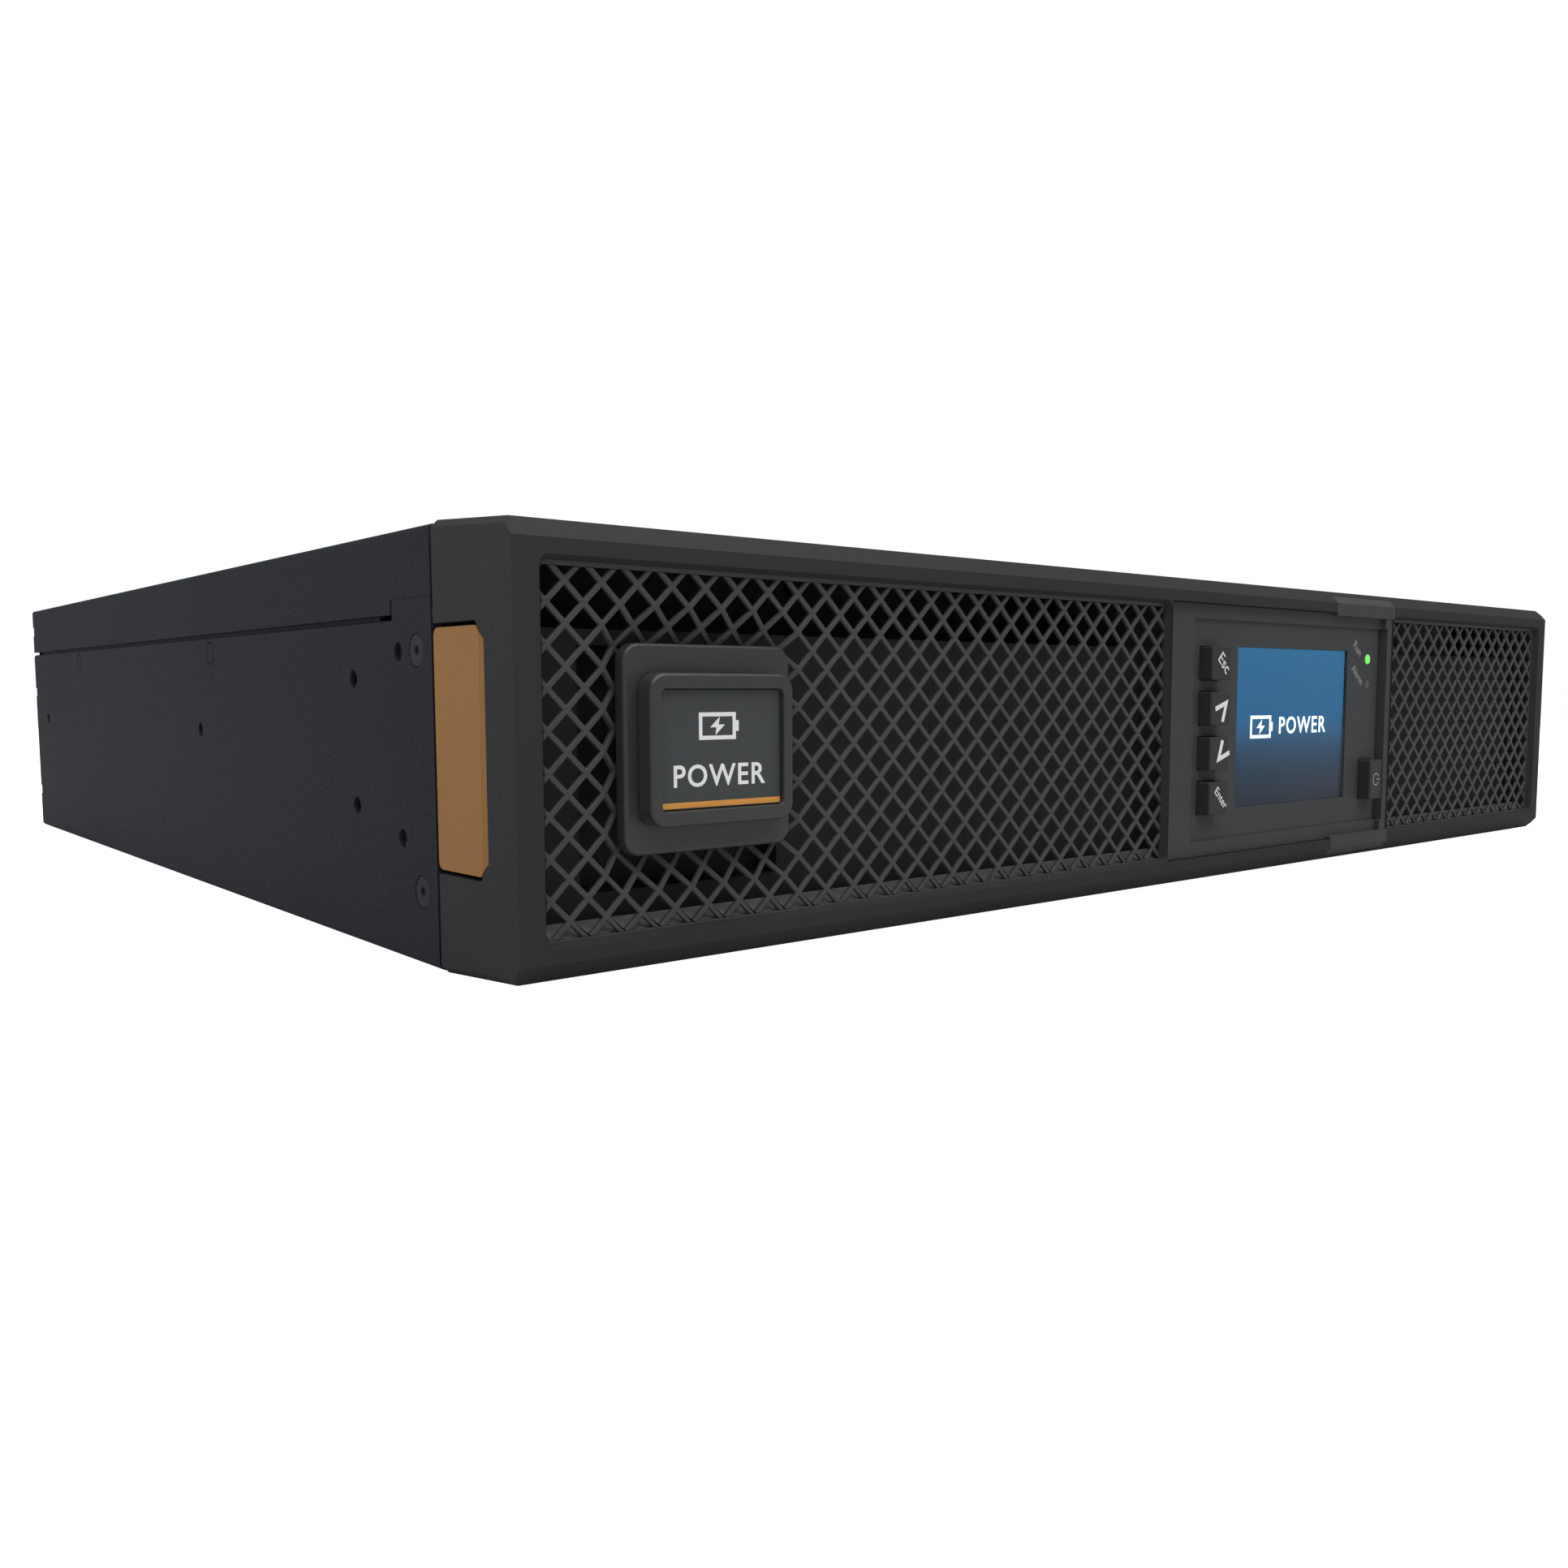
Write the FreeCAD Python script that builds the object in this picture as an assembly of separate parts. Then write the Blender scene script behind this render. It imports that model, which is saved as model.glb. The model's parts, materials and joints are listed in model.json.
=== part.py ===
import FreeCAD, Part
import math
import os

from FreeCAD import Vector

# Two-unit rack or tower uninterruptible power supply.
# Millimetres. +Z is up, the front bezel faces -Y, and the origin is the
# centre of the base, at the surface that the case stands on.

# ---------------------------------------------------------------- overall
bezel_width = 430.0
bezel_height = 85.0
body_depth = 400.0          # bezel face to the rear edge of the case
bezel_depth = 28.6
badge_proud = 4.0           # how far the badge stands in front of the bezel
bezel_gap = 2.4             # shadow gap between bezel and case
case_step_x = 0.7           # the case is narrower than the bezel by this, each side
case_step_z = 0.4           # and lower by this
fit = 0.2                   # clearance between pieces that slide together
seat_gap = 0.1              # clearance around pieces that are only fitted once

front_y = badge_proud / 2 - body_depth / 2
rear_y = front_y + body_depth
bezel_back_y = front_y + bezel_depth
case_front_y = bezel_back_y + bezel_gap
half_bezel = bezel_width / 2
half_case = half_bezel - case_step_x
case_height = bezel_height - case_step_z
mid_z = bezel_height / 2

# ---------------------------------------------------------------- case sheet metal
sheet = 1.2
seam_drop = 16.2            # height of the cover's side flange
seam_gap = 0.9
seam_end_back = 18.8
seam_front_rise = 2.9       # the flange is shorter in front of the relief notch
notch_width = 0.8
bottom_bend = 1.6
top_bend = 1.0
rear_inset = 2.4
bulkhead_back = 17.0        # bulkhead plate behind the case front edge
flange_back = 0.8           # bulkhead side flanges behind the case front edge
vent_pitch = 6.0
vent_high = 3.4
vent_wide = 28.0
vent_columns = 3

seam_z = case_height - seam_drop
seam_end_y = case_front_y + seam_end_back
seam_front_z = seam_z + seam_front_rise
inner_x = half_case - sheet
roof_z = case_height - sheet
rear_panel_y = rear_y - rear_inset - sheet
panel_face_y = rear_panel_y + sheet
bulkhead_y = case_front_y + bulkhead_back

# ---------------------------------------------------------------- rack-ear and slide-rail holes
ear_hole_r = 1.9
ear_front_back = 15.5       # first hole pair, behind the front edge of the case
ear_rear_back = 38.8        # second hole pair
ear_front_spacing = 36.8
ear_rear_spacing = 26.6
ear_z = mid_z + 0.2
rail_front_back = 149.2     # slide-rail holes, on one line along the side
rail_spacing = 199.0
rail_z = mid_z + 0.4

# ---------------------------------------------------------------- screws and marks of the case
side_screw_back = 7.0
side_screw_spacing = 46.7
side_screw_z = mid_z - 4.65
screw_head_r = 3.2
screw_shank_r = 1.5
screw_head_deep = 0.9
coin_mark_back = (137.9, 291.5)   # half-pierced round marks below the seam
coin_mark_z = seam_z - 5.0
coin_mark_r = 3.1
coin_mark_deep = 0.25
hem_slot_z = (mid_z - 28.0, mid_z + 10.4, case_height - 8.1)   # slots in the rear edges
hem_slot_high = 3.2
hem_slot_deep = 1.4

# ---------------------------------------------------------------- bezel
bezel_taper_x = 1.38        # each side, back to front
bezel_taper_z = 1.5         # top and bottom, back to front
bezel_foot = 0.1            # the bezel hangs this far above the resting surface
front_bevel_y = 3.2
front_bevel_z = 3.5
side_bevel = 1.4
lip = 2.0                   # thickness of the bezel's face
bezel_wall = 2.6
lip_draft = 0.85
pocket_wall = 1.5           # walls that close the latch pockets off from the grilles
window_r = 1.2
window_margin_z = 8.7
window_margin_x = 7.5
left_window_w = 182.6
right_window_w = 111.2
skirt_reach = 3.2
skirt_wall = 1.6
skirt_drop = 2.6            # skirt below the case roof and above its floor

window_bottom = window_margin_z
window_top = bezel_height - window_margin_z
left_window = (-half_bezel + window_margin_x, -half_bezel + window_margin_x + left_window_w)
right_window = (half_bezel - window_margin_x - right_window_w, half_bezel - window_margin_x)

# ---------------------------------------------------------------- expanded mesh
pitch = 7.6                 # diamond pitch, the same across and up
strand = 1.05
mesh_thick = 1.0
mesh_rim = 2.2              # margin hidden behind the window's lip
mesh_side = mesh_rim + 0.3  # plain margin at the outer side and foot
mesh_end = 0.5              # plain edge beside the display
mesh_top = mesh_rim + 0.8   # plain margin at the top, where a strip shows
least_hole = 1.0            # slivers of diamond smaller than this stay closed
dip_depth = 4.0             # depth of the well around the badge
well_edge = 0.5             # plain rim around the well
ledge_depth = 3.0
ledge_rise = 3.6
ledge_end_gap = 0.8         # the sill stops this far inside the window's ends

mesh_y = front_y + lip
dip_half_w = 3 * pitch
dip_half_h = 3.5 * pitch

# ---------------------------------------------------------------- badge
badge_x = left_window[0] + 35.6
badge_z = mid_z + 0.1
flange_w = 38.9
flange_h = 39.4
flange_thick = 3.1
flange_front_y = front_y + 0.8
badge_w = 33.4
badge_h = 28.5
badge_corner = 3.4
label_w = 28.2
label_h = 22.4
label_thick = 0.8
label_sunk = 1.3
badge_pivot_r = 4.0
pivot_length = 9.0
running = 0.05              # radial clearance of turning pins
boss_half_w = 16.5
boss_half_h = 17.5

# ---------------------------------------------------------------- display module
housing_step = 1.9          # housing face behind the bezel face
housing_face = 2.0          # thickness of the housing's face
panel_step = 0.8            # display panel behind the housing face
panel_thick = 2.0
panel_groove_w = 1.1        # groove at the right end of the panel
panel_groove_deep = 1.2
housing_back = 8.2          # depth of the housing behind the bezel's lip
housing_wall = 1.6
screen_w = 60.7
screen_h = 45.5
lens_thick = 1.0
lens_sunk = 0.2
lug_w = 35.8
lug_thick = 2.0
button_proud = 4.1
button_size = 9.0
button_pitch = 12.3
button_gap = 0.15
button_travel = 1.0
button_foot = 0.8           # the foot behind the panel is wider by this, each side
power_w = 7.4
power_h = 12.4
light_r = 1.5
board_thick = 1.6
display_board_back = 4.4
plug_w = 30.0               # blind-mating plug behind the display
plug_h = 12.0
plug_reach = 5.5
socket_wall = 3.0
socket_back = 2.5           # socket mouth behind the case front edge

housing_y = front_y + housing_step
panel_y = housing_y + panel_step
housing_x = (left_window[1] + lip_draft + seat_gap, right_window[0] - lip_draft - seat_gap)
panel_x = (left_window[1] + 13.8, right_window[0] - 5.0)
panel_z = (window_bottom + 3.4, window_top - 3.3)
screen_x = (panel_x[0] + 22.5, panel_x[0] + 22.5 + screen_w)
screen_z = (panel_z[0] + 8.2, panel_z[0] + 8.2 + screen_h)
button_x = panel_x[0] + 8.2
power_x = panel_x[1] - 6.5
power_z = panel_z[0] + 13.4
light_x = power_x - 0.2
run_light_z = panel_z[1] - 9.6
alarm_light_z = run_light_z - 7.9
display_board_y = panel_y + panel_thick + display_board_back
plug_x = (screen_x[0] + 14.7, screen_x[0] + 14.7 + plug_w)
plug_z = (mid_z - plug_h / 2, mid_z + plug_h / 2)
socket_front_y = case_front_y + socket_back

# ---------------------------------------------------------------- side latches
latch_front_back = 10.4     # front edge of the pad behind the bezel face
latch_past_bezel = 0.6      # its rear edge stands this far behind the bezel
latch_h = 45.2
latch_gap = 0.8
latch_inset = 0.3
latch_thick = 3.0
latch_travel = 2.0
latch_chamfer_y = 3.0
latch_chamfer_z = 3.5
latch_round = 1.6
latch_arm_w = 14.0
latch_arm_thick = 1.6
latch_arm_reach = 3.2       # the arm hooks this far into the case

latch_front_y = front_y + latch_front_back
latch_back_y = bezel_back_y + latch_past_bezel
latch_z = (mid_z + 0.1 - latch_h / 2, mid_z + 0.1 + latch_h / 2)
latch_arm_end_y = case_front_y + latch_arm_reach

# ---------------------------------------------------------------- battery pack
battery_w = 94.0
battery_l = 151.0
battery_h = 65.0
battery_gap = 0.5
tray_sheet = 1.0
tray_wall = 40.0
tray_side_gap = 2.3         # tray to the case side
lead_r = 2.0
well_deep = 5.0             # terminal wells in the battery lids
well_inset = 18.0
connector_w = 24.0
connector_h = 16.0
connector_inset = 60.0      # clear of the breaker behind it
door_face_back = 10.5       # front face of the battery door behind the bezel face
door_drop = 20.0            # top of the door's raised face below the bezel top
door_bottom = 6.4
door_flange_drop = 3.5      # top of the door's flange below the bezel top
baffle_drop = 19.0
doorway_drop = 9.0
pocket_w = 47.0             # pocket of the door behind the badge
pocket_deep = 9.0
pocket_foot = 9.0           # the pocket stays this far above the door's lower edge
pocket_head = 3.0           # and this far below its upper edge
door_screw_spacing = 80.0

door_y = front_y + door_face_back
door_top = bezel_height - door_drop
door_x = (left_window[0] + 1.1, left_window[1] + 2.4)
door_flange_top = bezel_height - door_flange_drop
doorway_top = bezel_height - doorway_drop
baffle_top = bezel_height - baffle_drop
baffle_x = (right_window[0] + 1.2, right_window[1] - 1.1)
battery_front_y = bulkhead_y + sheet + 2.0
tray_x = (-inner_x + tray_side_gap,
          -inner_x + tray_side_gap + 2 * tray_sheet + 2 * battery_w + 3 * battery_gap)
tray_y = (battery_front_y - battery_gap - tray_sheet,
          battery_front_y + 2 * battery_l + 2 * battery_gap + tray_sheet)
tray_z = sheet + 0.4
battery_x = tray_x[0] + tray_sheet + battery_gap
battery_z = tray_z + tray_sheet

# ---------------------------------------------------------------- power electronics
board_above_floor = 7.8
board_bay_gap = 11.6        # board to the battery tray
board_side_gap = 7.1
board_front_gap = 27.0 - bulkhead_back
board_rear_gap = 48.4
pillar_inset = 7.0
pillar_r = 3.0
stud_r = 1.6
sink_h = 50.0
sink_spine = 5.0
fin_thick = 1.6
capacitor_r = 14.0
capacitor_h = 46.0
choke_r = 12.5
choke_section_r = 6.0

sink_front_gap = 20.0       # power board's front edge to the heat sinks
sink_rear_gap = 30.0
fin_pitch = 5.0
capacitor_count = 5
capacitor_pitch = 32.0
choke_count = 3
choke_pitch = 42.0
core_size = (38.0, 44.0, 40.0)
winding_past_core = 5.0     # the winding bulges past the core at each end
relay_size = (30.0, 16.0, 22.0)
relay_pitch = 19.0
relay_count = 3
control_board_h = 62.0
header_size = (5.0, 24.0, 6.0)
processor_w = 20.0

board_x = (tray_x[1] + board_bay_gap, inner_x - board_side_gap)
board_y = (bulkhead_y + board_front_gap, rear_panel_y - board_rear_gap)
board_z = sheet + board_above_floor
board_top = board_z + board_thick

# ---------------------------------------------------------------- rear fittings
fan_size = 60.0
fan_depth = 25.0
fan_bore_r = 28.4
fan_hub_r = 12.5
fan_blade_r = 27.6
fan_pin_r = 1.5
fan_hole = 25.0             # screw holes from the fan's axis, across and up
fan_hole_r = 2.1
fan_spacing = 68.0
blade_count = 7
blade_lean = 32.0           # degrees from the axis
fan_corner = 3.0
fan_boss_deep = 4.0
strut_w = 3.0
rotor_front_gap = 0.4       # rotor behind the motor boss
rotor_rear_gap = 2.6
blade_thick = 1.4
guard_wire = 1.2
guard_spoke = 0.9
guard_rings = (8.0, 14.0, 20.0, 26.0)
guard_eye_r = 4.0
socket_w = 28.0
socket_h = 21.0
socket_flange = 1.5         # flange wider than the socket's body, each side
flange_out = 1.4            # how far socket flanges stand on the rear panel
cavity_wall_x = 1.8         # wall around the socket's cavity, at the sides
cavity_wall_z = 2.3         # and above and below
cavity_corner = 4.6
cavity_deep = 17.0
moat = 1.8                  # gap round the female core, where a plug's shroud goes
pin_places = ((-7, -2.0), (7, -2.0), (0, 2.0))
pin_recess = 5.0
pin_w = 2.0
pin_h = 4.0
pin_slot_gap = 0.2          # contact slots are larger than pins by this, at each side
pin_slot_deep = 14.0
outlet_gap = 5.0            # between the flanges of neighbouring outlets
outlet_rise = 34.0
battery_port_inset = 23.1   # battery port's axis from the inside of the case
first_outlet = 40.0         # battery port's axis to the first outlet
inlet_gap = 6.0             # the inlet stands this much further than an outlet would
breaker_w = 15.0
breaker_h = 20.0
breaker_deep = 30.0
breaker_nut_r = 8.5
button_rise = 2.2           # reset button above the panel
breaker_neck_r = 6.0
breaker_button_r = 3.5
breaker_travel = 1.5
card_slot_w = 54.0
card_slot_h = 34.0
card_slot_gap = 11.0        # card slot to the first fan
card_ear = 4.0              # cover plate past the slot, each side
port_drop = 18.5            # row of small ports below the middle
port_step = 20.0            # spacing of the small ports
usb_size = (12.0, 11.0)
network_size = (16.0, 13.5)
terminal_size = (16.0, 9.0)
battery_port_size = (32.0, 17.0)
battery_port_rise = 6.0
ground_screw_drop = 28.5

fan_x = (inner_x - 45.1 - fan_spacing, inner_x - 45.1)
battery_port_x = -inner_x + battery_port_inset
cavity_half = (socket_w / 2 - cavity_wall_x, socket_h / 2 - cavity_wall_z)
outlet_spacing = socket_w + 2 * socket_flange + outlet_gap
outlet_x = [battery_port_x + first_outlet + i * outlet_spacing for i in range(3)]
outlet_z = (mid_z + 0.5 - outlet_rise / 2, mid_z + 0.5 + outlet_rise / 2)
inlet_x = outlet_x[2] + outlet_spacing + inlet_gap
inlet_z = outlet_z[1]
breaker_x = inlet_x
port_z = mid_z - port_drop
breaker_z = port_z
slot_end = fan_x[0] - fan_size / 2 - card_slot_gap
slot_x = (slot_end - card_slot_w, slot_end)
slot_z = (case_height - 4.6 - card_slot_h, case_height - 4.6)
usb_x = slot_x[0] + 6.0
network_x = usb_x + port_step
terminal_x = network_x + port_step
battery_port_z = mid_z + battery_port_rise
ground_screw_z = mid_z - ground_screw_drop

os.makedirs("parts", exist_ok=True)


# ================================================================ small tools
def block(x, y, z):
    """Box between two x, two y and two z values."""
    return Part.makeBox(x[1] - x[0], y[1] - y[0], z[1] - z[0], Vector(x[0], y[0], z[0]))


def rod(radius, start, direction, length):
    return Part.makeCylinder(radius, length, Vector(*start), Vector(*direction))


def around(centre, size):
    """The two ends of a length that is centred on a value."""
    return (centre - size / 2, centre + size / 2)


def joined(shapes):
    """One solid from pieces that touch or overlap."""
    first = shapes[0]
    return first.fuse(shapes[1:]).removeSplitter() if len(shapes) > 1 else first


def group(shapes):
    return Part.makeCompound(shapes)


def export(shape, node):
    shape.exportStep("parts/" + node + ".step")


def mirrored(shape):
    """The same piece on the other side of the unit."""
    return shape.mirror(Vector(0, 0, 0), Vector(1, 0, 0))


def prism(points, direction):
    """Straight-sided solid from a flat outline of (x, y, z) points."""
    corners = [Vector(*p) for p in points]
    return Part.Face(Part.makePolygon(corners + corners[:1])).extrude(Vector(*direction))


def rounded_outline(x, z, radius, y):
    """Wire of a rounded rectangle that stands in a plane of constant y."""
    x0, x1 = x
    z0, z1 = z
    diagonal = radius * math.sqrt(0.5)
    corners = [
        (x1 - radius, z1 - radius, 1, 1),
        (x0 + radius, z1 - radius, -1, 1),
        (x0 + radius, z0 + radius, -1, -1),
        (x1 - radius, z0 + radius, 1, -1),
    ]
    ends = []
    for cx, cz, sx, sz in corners:
        side = Vector(cx + sx * radius, y, cz)
        cap = Vector(cx, y, cz + sz * radius)
        middle = Vector(cx + sx * diagonal, y, cz + sz * diagonal)
        start, stop = (side, cap) if sx * sz > 0 else (cap, side)
        ends.append((start, middle, stop))
    edges = []
    for i, (start, middle, stop) in enumerate(ends):
        edges.append(Part.Arc(start, middle, stop).toShape())
        edges.append(Part.LineSegment(stop, ends[(i + 1) % 4][0]).toShape())
    return Part.Wire(edges)


def rounded_block(x, y, z, radius):
    """Block with its four edges along Y rounded."""
    outline = rounded_outline(x, z, radius, y[0])
    return Part.Face(outline).extrude(Vector(0, y[1] - y[0], 0))


def drafted_block(x, y, z, radius, draft):
    """Rounded block that is larger by draft all round at its first y."""
    wide_x = (x[0] - draft, x[1] + draft)
    wide_z = (z[0] - draft, z[1] + draft)
    wide = rounded_outline(wide_x, wide_z, radius + draft, y[0])
    narrow = rounded_outline(x, z, radius, y[1])
    return Part.makeLoft([wide, narrow], True, True)


def edges_where(shape, test):
    return [e for e in shape.Edges if test(e)]


def softened(shape, radius, test):
    """Fillet of the edges that pass a test."""
    return shape.makeFillet(radius, edges_where(shape, test))


def along_y(edge, least):
    """True for a straight edge that runs along Y for at least a length."""
    return len(edge.Vertexes) == 2 and abs(edge.Vertexes[0].Y - edge.Vertexes[1].Y) > least


# ================================================================ case
def side_hole_places():
    """(y, z) of the four rack-ear holes and the two slide-rail holes on each side."""
    front = case_front_y + ear_front_back
    rear = case_front_y + ear_rear_back
    places = [(front, z) for z in around(ear_z, ear_front_spacing)]
    places += [(rear, z) for z in around(ear_z, ear_rear_spacing)]
    rail = case_front_y + rail_front_back
    places += [(rail, rail_z), (rail + rail_spacing, rail_z)]
    return places


def side_screw_places():
    """(y, z) of the countersunk screws that hold the front bulkhead."""
    y = case_front_y + side_screw_back
    return [(y, z) for z in around(side_screw_z, side_screw_spacing)]


def chassis_base():
    """Folded tray: floor, two sides with rounded top edges, and the strips that take the cover."""
    side_top = seam_z - seam_gap
    outer = block((-half_case, half_case), (case_front_y, rear_y), (0, side_top))
    outer = softened(outer, bottom_bend,
                     lambda e: along_y(e, 300) and e.Vertexes[0].Z < 1)
    outer = softened(outer, top_bend,
                     lambda e: along_y(e, 300) and e.Vertexes[0].Z > side_top - 0.1)
    inside = block((-inner_x, inner_x), (case_front_y - 1, rear_y + 1), (sheet, case_height))
    tray = outer.cut(inside)
    parts = [tray]
    strip_y = (seam_end_y + 8, rear_panel_y - 6)
    for side in (-1, 1):
        cheek = block((inner_x, half_case), (case_front_y, seam_end_y - notch_width),
                      (side_top - 2 * top_bend, seam_front_z))
        strip = block((inner_x - sheet, inner_x), strip_y, (side_top - 8, roof_z - 4))
        bridge = block((inner_x, half_case - 0.2), (case_front_y - bezel_gap + fit, case_front_y),
                       (seam_z - 1.0, seam_z + 0.4))
        for piece in (cheek, strip, bridge):
            parts.append(piece if side > 0 else mirrored(piece))
    tray = joined(parts)
    cuts = []
    for side in (-1, 1):
        out = side * (half_case + 1)
        for y, z in side_hole_places():
            cuts.append(rod(ear_hole_r, (out, y, z), (-side, 0, 0), sheet + 2))
        for y, z in side_screw_places():
            cuts.append(rod(screw_shank_r + 0.1, (out, y, z), (-side, 0, 0), sheet + 2))
            cuts.append(rod(screw_head_r + 0.1, (side * half_case, y, z), (-side, 0, 0), screw_head_deep))
        for back in coin_mark_back:
            start = (side * half_case, case_front_y + back, coin_mark_z)
            ring = rod(coin_mark_r, start, (-side, 0, 0), coin_mark_deep)
            cuts.append(ring.cut(rod(coin_mark_r - 0.4, start, (-side, 0, 0), coin_mark_deep)))
        for z in hem_slot_z[:2]:
            cuts.append(block(sorted((side * (half_case + 1), side * (inner_x - 1))),
                              (rear_y - hem_slot_deep, rear_y + 1), around(z, hem_slot_high)))
    return tray.cut(cuts)


def top_cover():
    """Roof with two side flanges, which are shorter in front of the relief notch."""
    outer = block((-half_case, half_case), (case_front_y, rear_y), (seam_z, case_height))
    outer = softened(outer, top_bend,
                     lambda e: along_y(e, 300) and e.Vertexes[0].Z > case_height - 0.1)
    inside = block((-inner_x, inner_x), (case_front_y - 1, rear_y + 1), (0, roof_z))
    front_relief = block((-half_case - 1, half_case + 1), (case_front_y - 1, seam_end_y),
                         (0, seam_front_z))
    cuts = [inside, front_relief]
    for side in (-1, 1):
        cuts.append(block(sorted((side * (half_case + 1), side * (inner_x - 1))),
                          (rear_y - hem_slot_deep, rear_y + 1), around(hem_slot_z[2], hem_slot_high)))
    return outer.cut(cuts)


def rear_openings():
    """Every hole of the rear panel, as solids that run through it."""
    y = (rear_panel_y - 1, rear_panel_y + sheet + 1)
    cuts = []
    for x in fan_x:
        cuts.append(rod(fan_bore_r, (x, y[0], mid_z), (0, 1, 0), sheet + 2))
        for hx, hz in fan_hole_places(x):
            cuts.append(rod(fan_hole_r, (hx, y[0], hz), (0, 1, 0), sheet + 2))
    fittings = [(x, z, (socket_w, socket_h)) for x in outlet_x for z in outlet_z]
    fittings += [(inlet_x, inlet_z, (socket_w, socket_h)), (usb_x, port_z, usb_size),
                 (network_x, port_z, network_size), (terminal_x, port_z, terminal_size),
                 (battery_port_x, battery_port_z, battery_port_size)]
    for x, z, size in fittings:
        cuts.append(block(around(x, size[0] + 2 * fit), y, around(z, size[1] + 2 * fit)))
    cuts.append(rod(breaker_neck_r + seat_gap, (breaker_x, y[0], breaker_z), (0, 1, 0), sheet + 2))
    cuts.append(block((slot_x[0] + 3, slot_x[1] - 3), y, (slot_z[0] + 2, slot_z[1] - 2)))
    return cuts


def fan_hole_places(x):
    """Centres of a fan's four screw holes."""
    return [(x + dx, mid_z + dz) for dx in (-fan_hole, fan_hole) for dz in (-fan_hole, fan_hole)]


def rear_panel():
    """Flat rear wall with bent flanges along its top and bottom."""
    gap = 0.1
    plate = block((-inner_x + gap, inner_x - gap), (rear_panel_y, rear_panel_y + sheet),
                  (sheet + gap, roof_z - gap))
    flange_y = (rear_panel_y - 9, rear_panel_y)
    top = block((-inner_x + 4, inner_x - 4), flange_y, (roof_z - gap - sheet, roof_z - gap))
    clear_y = (flange_y[0] - 1, flange_y[1])
    clear = [block(around(x, fan_size + 4), clear_y, (0, case_height)) for x in fan_x]
    return joined([plate, top.cut(clear)]).cut(rear_openings())


def front_bulkhead():
    """Inner front wall: a plate with side flanges, a doorway for the battery tray and intake slots."""
    z = (sheet + seat_gap, roof_z - seat_gap)
    out = inner_x - seat_gap
    parts = [block((-out, out), (bulkhead_y, bulkhead_y + sheet), z)]
    for side in (-1, 1):
        flange = block((out - sheet, out), (case_front_y + flange_back, bulkhead_y), z)
        parts.append(flange if side > 0 else mirrored(flange))
    wall = joined(parts)
    y = (bulkhead_y - 1, bulkhead_y + sheet + 1)
    cuts = [block((tray_x[0] - fit, tray_x[1] + fit), y, (0, doorway_top))]
    bottom = door_bottom + vent_pitch - 2
    column_pitch = (baffle_x[1] - baffle_x[0] - 2 * vent_pitch) / vent_columns
    for column in range(vent_columns):
        x = baffle_x[0] + vent_pitch + column * column_pitch
        for row in range(int((baffle_top - bottom) / vent_pitch)):
            slot_bottom = bottom + row * vent_pitch
            cuts.append(block((x, x + vent_wide), y, (slot_bottom, slot_bottom + vent_high)))
    cuts.append(block(plug_x, y, plug_z))
    for x, z in door_screw_places():
        cuts.append(rod(screw_shank_r, (x, y[0], z), (0, 1, 0), sheet + 2))
    for side in (-1, 1):
        for sy, sz in side_screw_places():
            cuts.append(rod(screw_shank_r, (side * (inner_x - 3), sy, sz), (side, 0, 0), 4))
        for sy, sz in side_hole_places()[:2]:
            cuts.append(rod(ear_hole_r + fit, (side * (inner_x - 3), sy, sz), (side, 0, 0), 4))
        cuts.append(block(sorted((side * (inner_x - 3), side * inner_x)),
                          (case_front_y, latch_arm_end_y + 1.3), around(mid_z, latch_arm_w + 2.4)))
    return wall.cut(cuts)


def side_screws():
    """Countersunk screws, two on each side, through the case into the bulkhead flanges."""
    screws = []
    for side in (-1, 1):
        for y, z in side_screw_places():
            face = side * (half_case - 0.1)
            head = Part.makeCone(screw_head_r, screw_head_r - 0.4, screw_head_deep - 0.1,
                                 Vector(face, y, z), Vector(-side, 0, 0))
            shank = rod(screw_shank_r - 0.05, (face, y, z), (-side, 0, 0), 2 * sheet + 0.2)
            drive = rod(0.9, (face, y, z), (-side, 0, 0), 0.7)
            screws.append(joined([head, shank]).cut(drive))
    return screws


# ================================================================ battery side
def door_screw_places():
    """(x, z) of the screws along the top flange of the battery door."""
    middle = (door_x[0] + door_x[1]) / 2
    z = door_flange_top - screw_head_r + fit
    return [(middle + i * door_screw_spacing, z) for i in (-1, 0, 1)]


def battery_door():
    """Pan-shaped door of the battery bay: a pocket behind the badge, and a flange all round."""
    back_y = bulkhead_y - seat_gap
    outer = block(door_x, (door_y, back_y), (door_bottom, door_top))
    inner = block((door_x[0] + sheet, door_x[1] - sheet), (door_y + sheet, back_y + 1),
                  (door_bottom + sheet, door_top - sheet))
    flange_x = (tray_x[0] + fit, max(tray_x[1], door_x[1]) + 4.0)
    flange = block(flange_x, (back_y - sheet, back_y), (sheet + 0.6, door_flange_top))
    pan = joined([outer, flange]).cut(inner)
    pocket_x = around(badge_x, pocket_w)
    pocket_z = (door_bottom + pocket_foot, door_top - pocket_head)
    cup = block((pocket_x[0] - sheet, pocket_x[1] + sheet), (door_y, door_y + pocket_deep),
                (pocket_z[0] - sheet, pocket_z[1] + sheet))
    hollow = block(pocket_x, (door_y - 1, door_y + pocket_deep - sheet), pocket_z)
    pan = joined([pan, cup]).cut(hollow)
    holes = [rod(screw_shank_r + seat_gap, (x, back_y - 2 * sheet, z), (0, 1, 0), 3 * sheet)
             for x, z in door_screw_places()]
    return pan.cut(holes)


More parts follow.
